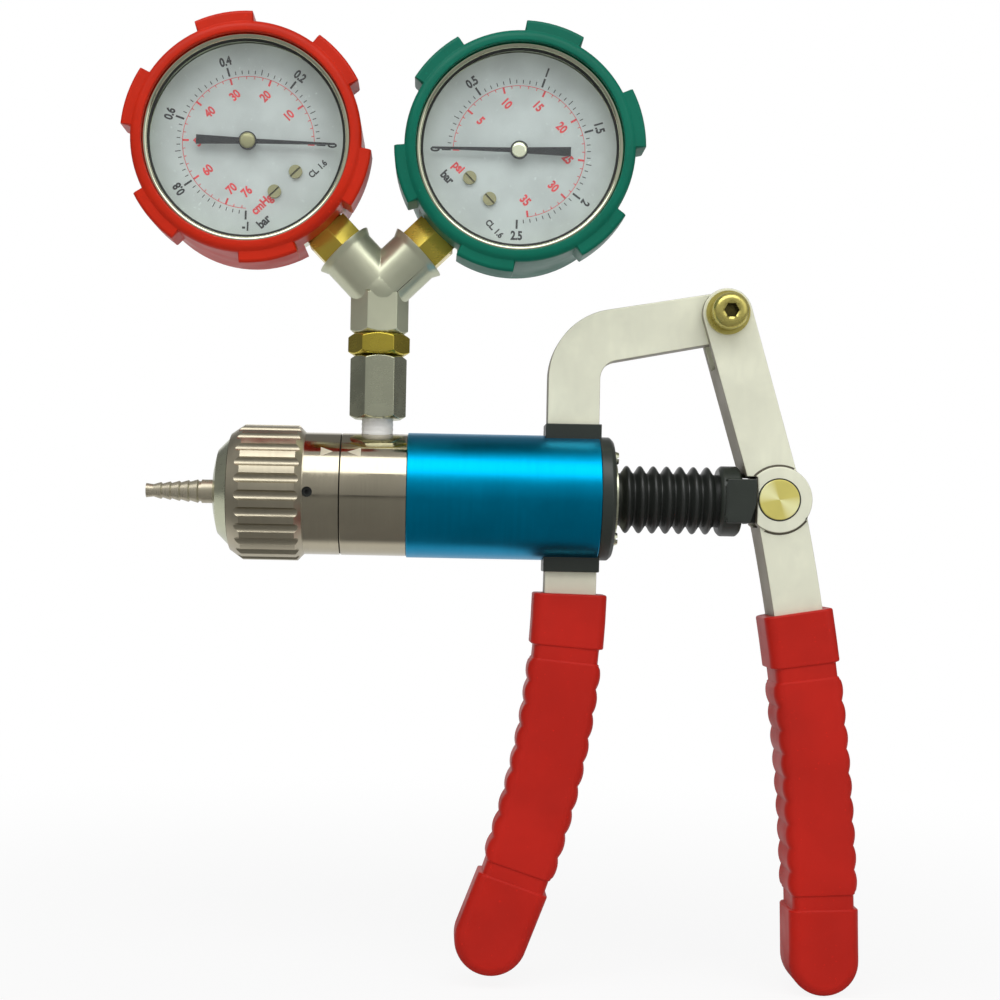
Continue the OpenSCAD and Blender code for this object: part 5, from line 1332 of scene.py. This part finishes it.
class PUMP_OT_thread_tape(bpy.types.Operator):
    """White seal tape, wound in a few uneven turns where the gauge adapter enters the valve body"""

    bl_idname = "pump.thread_tape"
    bl_label = "Thread tape"

    around, wraps = 72, 9
    # Depth below the crest of a wrap, from one wrap to the next
    dips = (0.0, 0.05 * MM, 0.16 * MM, 0.05 * MM)
    play, wall = 0.02 * MM, 0.9 * MM
    slant, slant_turn = 0.07 * MM, 0.6

    def execute(self, context):
        low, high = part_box("thread_seal")
        middle, tall = (low + high) / 2, high.z - low.z
        far = (high.x - low.x) / 2
        steps = self.wraps * len(self.dips)
        profile = [(far - self.wall, low.z)]
        for i in range(steps + 1):
            profile.append((far - self.play - self.dips[i % len(self.dips)], low.z + tall * (i / steps)))
        profile.append((far - self.wall, high.z))
        rows = []
        for r, z in profile:
            row = []
            for a in once_round(self.around):
                lift = self.slant * math.sin(a + self.slant_turn) * math.sin(math.pi * (z - low.z) / tall)
                row.append((middle.x + r * math.cos(a), middle.y + r * math.sin(a), z + lift))
            rows.append(row)
        add_skin(
            "thread_tape_wrap", rows, 60, "tape_white", "tape_white", "pump", ("thread_seal",),
            close_rows=True,
        )
        return {"FINISHED"}


class PUMP_OT_selector_seal(bpy.types.Operator):
    """The dark ring in the joint between the selector and the valve body"""

    bl_idname = "pump.selector_seal"
    bl_label = "Selector seal"

    around = 96
    set_back, depth, crown, play = 0.35 * MM, 3.5 * MM, 0.1 * MM, 0.03 * MM

    def execute(self, context):
        front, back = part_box("selector_ring")[1].x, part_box("valve_body")[0].x
        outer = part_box("valve_body")[1].y - self.set_back
        inner, low = outer - self.depth, outer - self.crown
        start, stop = front + self.play, back - self.play
        profile = ((inner, start), (low, start), (outer, (front + back) / 2), (low, stop), (inner, stop))
        rows = turned(profile, self.around, along_pump)
        add_skin("selector_seal", rows, 50, "black_rubber", "black_rubber", "pump", close_rows=True)
        return {"FINISHED"}


class PUMP_OT_pivot_bolt(bpy.types.Operator):
    """Button-headed bolt at the pivot, with a well rounded edge and a hexagon socket"""

    bl_idname = "pump.pivot_bolt"
    bl_label = "Pivot bolt"

    around, edge_steps = 72, 8
    head_height, edge, shank_radius = 6.4 * MM, 2.2 * MM, 3 * MM
    socket_flat, socket_depth, socket_mouth = 2 * MM, 3 * MM, 2.65 * MM
    chamfer, soft, sunk = 0.4 * MM, 0.2 * MM, 0.4 * MM

    def execute(self, context):
        low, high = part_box("pivot_bolt")
        middle, head_r = (low + high) / 2, (high.x - low.x) / 2
        front, seat, end = low.y, low.y + self.head_height, high.y
        shank, edge, soft = self.shank_radius, self.edge, self.soft
        outline = [
            (shank - self.chamfer, end), (shank, end - self.chamfer), (shank, seat),
            (head_r - soft, seat), (head_r, seat - soft),
        ]
        for a in quarter_arc(self.edge_steps):
            outline.append((head_r - edge + edge * math.cos(a), front + edge - edge * math.sin(a)))
        outline.append((self.socket_mouth, front))

        angles = once_round(self.around)
        hexagon = [self.socket_flat / math.cos(a % (math.pi / 3) - math.pi / 6) for a in angles]

        def ring(y, radii):
            pairs = zip(radii, angles)
            return [(middle.x + r * math.cos(a), y, middle.z + r * math.sin(a)) for r, a in pairs]

        rows = [ring(y, [r] * self.around) for r, y in outline]
        rows += [ring(front + self.sunk, hexagon), ring(front + self.socket_depth, hexagon)]
        add_skin(
            "pivot_button_bolt", rows, 35, "brass_olive", "brass", "lever", ("pivot_bolt",),
            cap_first=True, cap_last=True,
        )
        return {"FINISHED"}


class PUMP_OT_pin_ring(bpy.types.Operator):
    """The dark ring round the rod pin, and painted shadow lines where the lever's boss meets the bar"""

    bl_idname = "pump.pin_ring"
    bl_label = "Pin ring"

    around, arc_steps = 96, 24
    # (radius beyond the pin's, height over the boss) in millimetres
    section = ((0.02, -0.05), (0.02, 0.16), (0.16, 0.22), (0.32, 0.16), (0.4, -0.05))
    # (radius beyond the boss's, height over the bar) in millimetres
    foot = ((0.05, -0.05), (0.1, 0.24), (0.3, 0.2), (0.52, 0.1), (0.66, -0.05))
    boss_radius, boss_rise = 10 * MM, 0.75 * MM
    # (middle, half) in degrees of the arcs where the boss lies on the bar
    arcs = {"upper_boss_shadow": (101.0, 36.0), "lower_boss_shadow": (-75.0, 39.0)}

    def execute(self, context):
        low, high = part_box("rod_pin")
        middle, pin_r = (low + high) / 2, (high.x - low.x) / 2
        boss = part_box("lever")[0].y

        def on_boss(x, y, height):
            return (middle.x + x, boss - height, middle.z + y)

        profile = [(pin_r + r * MM, z * MM) for r, z in self.section]
        rows = turned(profile, self.around, on_boss)
        add_skin("pin_ring", rows, 50, "black_rubber", "black_rubber", "lever", close_rows=True)
        # Painted shadow: dark strips along the foot of the boss where it lies on the bar
        for name, (turn, half) in self.arcs.items():
            rows = []
            for k in range(self.arc_steps + 1):
                a = math.radians(turn + half * (2 * k / self.arc_steps - 1))
                row = []
                for r, z in self.foot:
                    far = self.boss_radius + r * MM
                    row.append(on_boss(far * math.cos(a), far * math.sin(a), z * MM - self.boss_rise))
                rows.append(row)
            add_skin(name, rows, 50, "grime", body="lever", cap_first=True, cap_last=True)
        return {"FINISHED"}


class PUMP_OT_selector_marks(bpy.types.Operator):
    """Etched arrows that line up when the selector is at rest"""

    bl_idname = "pump.selector_marks"
    bl_label = "Selector marks"

    steps = 10
    half = 1.8 * MM
    round_at = math.radians(41)
    outside, surface_radius, proud = 40 * MM, 18 * MM, 0.03 * MM

    def arrow(self, node, name, tip, tail, body):
        """A triangle laid on a turned surface, from its tail to its tip along the pump."""
        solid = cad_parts[node]
        to_world = solid.matrix_world
        tree = BVHTree.FromPolygons(
            [to_world @ v.co for v in solid.data.vertices],
            [tuple(face.vertices) for face in solid.data.polygons],
        )
        points, faces = [], []
        per_row = self.steps + 1
        for i in range(per_row):
            x = tail + (tip - tail) * i / self.steps
            wide = self.half * (1 - i / self.steps)
            for k in range(per_row):
                a = self.round_at + wide * (2 * k / self.steps - 1) / self.surface_radius
                beam = Vector((0, math.cos(a), -math.sin(a)))
                start = Vector((x, -self.outside * math.cos(a), self.outside * math.sin(a)))
                hit = tree.ray_cast(start, beam)[0]
                if hit is None:
                    raise RuntimeError("no surface for the mark " + name)
                points.append(hit - beam * self.proud)
        for i in range(self.steps):
            for k in range(self.steps):
                a = i * per_row + k
                faces.append((a, a + 1, a + per_row + 1, a + per_row))
        add_piece(build_mesh(name, points, faces), "etched", body=body)

    def execute(self, context):
        self.arrow("selector_ring", "selector_arrow", tip=36.8 * MM, tail=33.2 * MM, body="selector")
        self.arrow("valve_body", "valve_arrow", tip=41.2 * MM, tail=45.2 * MM, body="pump")
        return {"FINISHED"}


# Stage

class StageSettings(bpy.types.PropertyGroup):
    """Camera and lamps."""

    camera_distance: length("Camera distance", "Distance of the camera in front of the pump", 541)
    camera_across: length("Camera across", "Place of the camera along the pump", 66.9)
    camera_height: length("Camera height", "Height of the camera against the pump's axis", -13.2)
    camera_roll: angle("Camera roll", "Roll of the camera", -1.117)
    lens: plain_number("Lens", "Focal length in millimetres", 63.78, unit="CAMERA")
    shift_across: plain_number("Shift across", "Sideways shift that frames the pump", 0.0678)
    shift_up: plain_number("Shift up", "Upward shift that frames the pump", 0.0389)
    key_power: plain_number("Key power", "Power of the soft lamp above the front", 9.5, unit="POWER")
    fill_power: plain_number("Fill power", "Power of the soft lamp at the right", 1.6, unit="POWER")
    ambient: plain_number("Ambient", "Light from the room all round", 0.58)


def soft_lamp(name, aim, offset, size, power):
    """A soft box that faces aim from an offset."""
    lamp = bpy.data.lights.new(name, "AREA")
    lamp.shape = "RECTANGLE"
    lamp.size, lamp.size_y = size
    lamp.energy = power
    box = bpy.data.objects.new(name, lamp)
    box.location = aim + offset
    box.rotation_euler = (-offset).to_track_quat("-Z", "Y").to_euler()
    bpy.context.scene.collection.objects.link(box)
    return box


class PUMP_OT_stage(bpy.types.Operator):
    """Plain pale floor, soft studio light and the camera"""

    bl_idname = "pump.stage"
    bl_label = "Stage"

    sensor, clip = 36, (0.01, 50)
    floor_reach, floor_rings, floor_around, floor_drop = 2.5, 24, 64, 0.0002
    floor_tones = (0.8, 0.8, 0.8, 1.0), (0.83, 0.83, 0.825, 1.0)
    # What metal sees of the floor: a grey in front of the pump, a glow behind it
    mirrored_front, mirrored_back = (0.3, 0.3, 0.295, 1.0), 0.6
    aim = Vector((0.08, 0.0, 0.02))
    key_offset, key_size = Vector((-0.12, -0.68, 0.98)), (1.7, 0.75)
    fill_offset, fill_size = Vector((0.95, -0.7, 0.45)), (0.9, 0.9)

    def camera(self, scene, sizes):
        lens = bpy.data.cameras.new("camera")
        lens.lens = sizes.lens
        lens.sensor_width = self.sensor
        lens.shift_x, lens.shift_y = sizes.shift_across, sizes.shift_up
        lens.clip_start, lens.clip_end = self.clip
        camera = bpy.data.objects.new("camera", lens)
        camera.location = (sizes.camera_across, -sizes.camera_distance, sizes.camera_height)
        camera.rotation_euler = (math.radians(90), sizes.camera_roll, 0)
        scene.collection.objects.link(camera)
        scene.camera = camera
        return camera

    def world(self, scene, sizes):
        room = bpy.data.worlds.new("room")
        room.use_nodes = True
        scene.world = room
        tree = room.node_tree
        back = tree.nodes["Background"]
        path = tree.nodes.new("ShaderNodeLightPath").outputs
        way = parts_of(tree, tree.nodes.new("ShaderNodeTexCoord").outputs["Generated"])
        # Metal mirrors dim walls, brighter above and in front, and white straight behind the pump
        behind = ramp_node(tree, way["Y"], 0.75, 0.97)
        upward = spread(tree, ramp_node(tree, way["Z"], -0.5, 0.9), 0.395, 0.155)
        beside = spread(tree, ramp_node(tree, way["Y"], -0.4, 0.4), 0.7, -0.3)
        mirrored = math_node(tree, "MAXIMUM", math_node(tree, "MULTIPLY", upward, beside), behind)
        glossy = math_node(tree, "MULTIPLY", path["Is Glossy Ray"], mirrored)
        seen = math_node(tree, "MAXIMUM", path["Is Camera Ray"], path["Is Transmission Ray"])
        direct = math_node(tree, "MAXIMUM", seen, path["Is Glossy Ray"])
        other = math_node(tree, "SUBTRACT", 1.0, direct, clamp=True)
        # Soft light comes mostly from the front, so that side faces stay darker
        soft = sizes.ambient
        facing = spread(tree, ramp_node(tree, way["Y"], -0.9, 0.15), 0.72 * soft, -0.5 * soft)
        lit = math_node(tree, "MULTIPLY", other, facing)
        strength = math_node(tree, "ADD", math_node(tree, "MAXIMUM", seen, glossy), lit)
        tree.links.new(strength, back.inputs["Strength"])
        back.inputs["Color"].default_value = WHITE

    def floor_paint(self, centre):
        """Matt paint that the camera sees as white, a little darker near the pump, with the pump's shadow."""
        tree, shader, place = start_finish("floor_paint")
        marks = use_group(tree, "handling", place, Scale=6.0)
        tone = mix_colours(tree, marks.outputs["Smears"], *self.floor_tones)
        shader.inputs["Roughness"].default_value = 0.9
        shader.inputs["Specular IOR Level"].default_value = 0.1
        glow = tree.nodes.new("ShaderNodeEmission")
        glow.inputs["Color"].default_value = WHITE
        path = tree.nodes.new("ShaderNodeLightPath").outputs
        away = vector_node(tree, "DISTANCE", place, centre)["Value"]
        fade = spread(tree, ramp_node(tree, away, 0.1, 0.5), 0.95, 0.05)
        in_front = math_node(tree, "SUBTRACT", 1.0, ramp_node(tree, parts_of(tree, place)["Y"], 0.0, 0.05))
        mirrored = math_node(tree, "MULTIPLY", in_front, path["Is Glossy Ray"])
        tree.links.new(mix_colours(tree, mirrored, tone, self.mirrored_front), shader.inputs["Base Color"])
        seen = math_node(tree, "MAXIMUM", path["Is Camera Ray"], path["Is Transmission Ray"])
        behind = math_node(tree, "SUBTRACT", path["Is Glossy Ray"], in_front, clamp=True)
        glowing = math_node(tree, "MULTIPLY", behind, self.mirrored_back)
        lit = math_node(tree, "MAXIMUM", math_node(tree, "MULTIPLY", seen, fade), glowing)
        mix_shaders(tree, lit, shader.outputs["BSDF"], glow.outputs["Emission"])

    def floor(self, scene):
        low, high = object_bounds()
        middle, z = (low + high) / 2, low.z - self.floor_drop
        rows = []
        for i in range(1, self.floor_rings + 1):
            r = self.floor_reach * (i / self.floor_rings) ** 2
            around = once_round(self.floor_around)
            rows.append([(middle.x + r * math.cos(a), middle.y + r * math.sin(a), z) for a in around])
        points, faces = loft(rows, cap_first=True)
        mesh = build_mesh("studio_floor", points, faces)
        if any(face.normal.z < 0 for face in mesh.polygons):
            mesh.flip_normals()
        self.floor_paint((middle.x, middle.y, low.z))
        mesh.materials.append(Palette.finishes["floor_paint"])
        floor = bpy.data.objects.new("studio_floor", mesh)
        scene.collection.objects.link(floor)
        return floor

    def execute(self, context):
        scene = context.scene
        sizes = scene.stage_settings
        scene.view_settings.view_transform = "Standard"
        camera = self.camera(scene, sizes)
        self.world(scene, sizes)
        floor = self.floor(scene)
        key = soft_lamp("key_lamp", self.aim, self.key_offset, self.key_size, sizes.key_power)
        fill = soft_lamp("fill_lamp", self.aim, self.fill_offset, self.fill_size, sizes.fill_power)
        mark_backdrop(camera, floor, key, fill)
        return {"FINISHED"}


OPERATORS = (
    PUMP_OT_finishes,
    PUMP_OT_solid_edges,
    PUMP_OT_bellows,
    PUMP_OT_return_spring,
    PUMP_OT_grips,
    PUMP_OT_boots,
    PUMP_OT_dial_print,
    PUMP_OT_pointer_caps,
    PUMP_OT_bezels,
    PUMP_OT_thread_tape,
    PUMP_OT_selector_seal,
    PUMP_OT_pivot_bolt,
    PUMP_OT_pin_ring,
    PUMP_OT_selector_marks,
    PUMP_OT_stage,
)


class PUMP_PT_pieces(bpy.types.Panel):
    """Lists the steps that dress the pump"""

    bl_idname = "PUMP_PT_pieces"
    bl_label = "Hand pump"
    bl_space_type = "VIEW_3D"
    bl_region_type = "UI"
    bl_category = "Hand pump"

    def draw(self, context):
        for operator in OPERATORS:
            self.layout.operator(operator.bl_idname)


GROUPS = {
    "rubber_sizes": RubberSizes,
    "gauge_sizes": GaugeSizes,
    "finishes": Finishes,
    "stage_settings": StageSettings,
}


def register():
    for name, group in GROUPS.items():
        bpy.utils.register_class(group)
        setattr(bpy.types.Scene, name, bpy.props.PointerProperty(type=group))
    for operator in OPERATORS:
        bpy.utils.register_class(operator)
    bpy.utils.register_class(PUMP_PT_pieces)


def unregister():
    bpy.utils.unregister_class(PUMP_PT_pieces)
    for operator in reversed(OPERATORS):
        bpy.utils.unregister_class(operator)
    for name, group in reversed(GROUPS.items()):
        delattr(bpy.types.Scene, name)
        bpy.utils.unregister_class(group)


def main():
    register()
    bpy.ops.pump.finishes()
    bpy.ops.pump.solid_edges()
    bpy.ops.pump.bellows()
    bpy.ops.pump.return_spring()
    bpy.ops.pump.grips()
    bpy.ops.pump.boots()
    bpy.ops.pump.dial_print()
    bpy.ops.pump.pointer_caps()
    bpy.ops.pump.bezels()
    bpy.ops.pump.thread_tape()
    bpy.ops.pump.selector_seal()
    bpy.ops.pump.pivot_bolt()
    bpy.ops.pump.pin_ring()
    bpy.ops.pump.selector_marks()
    bpy.ops.pump.stage()
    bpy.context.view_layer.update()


if __name__ == "__main__":
    main()
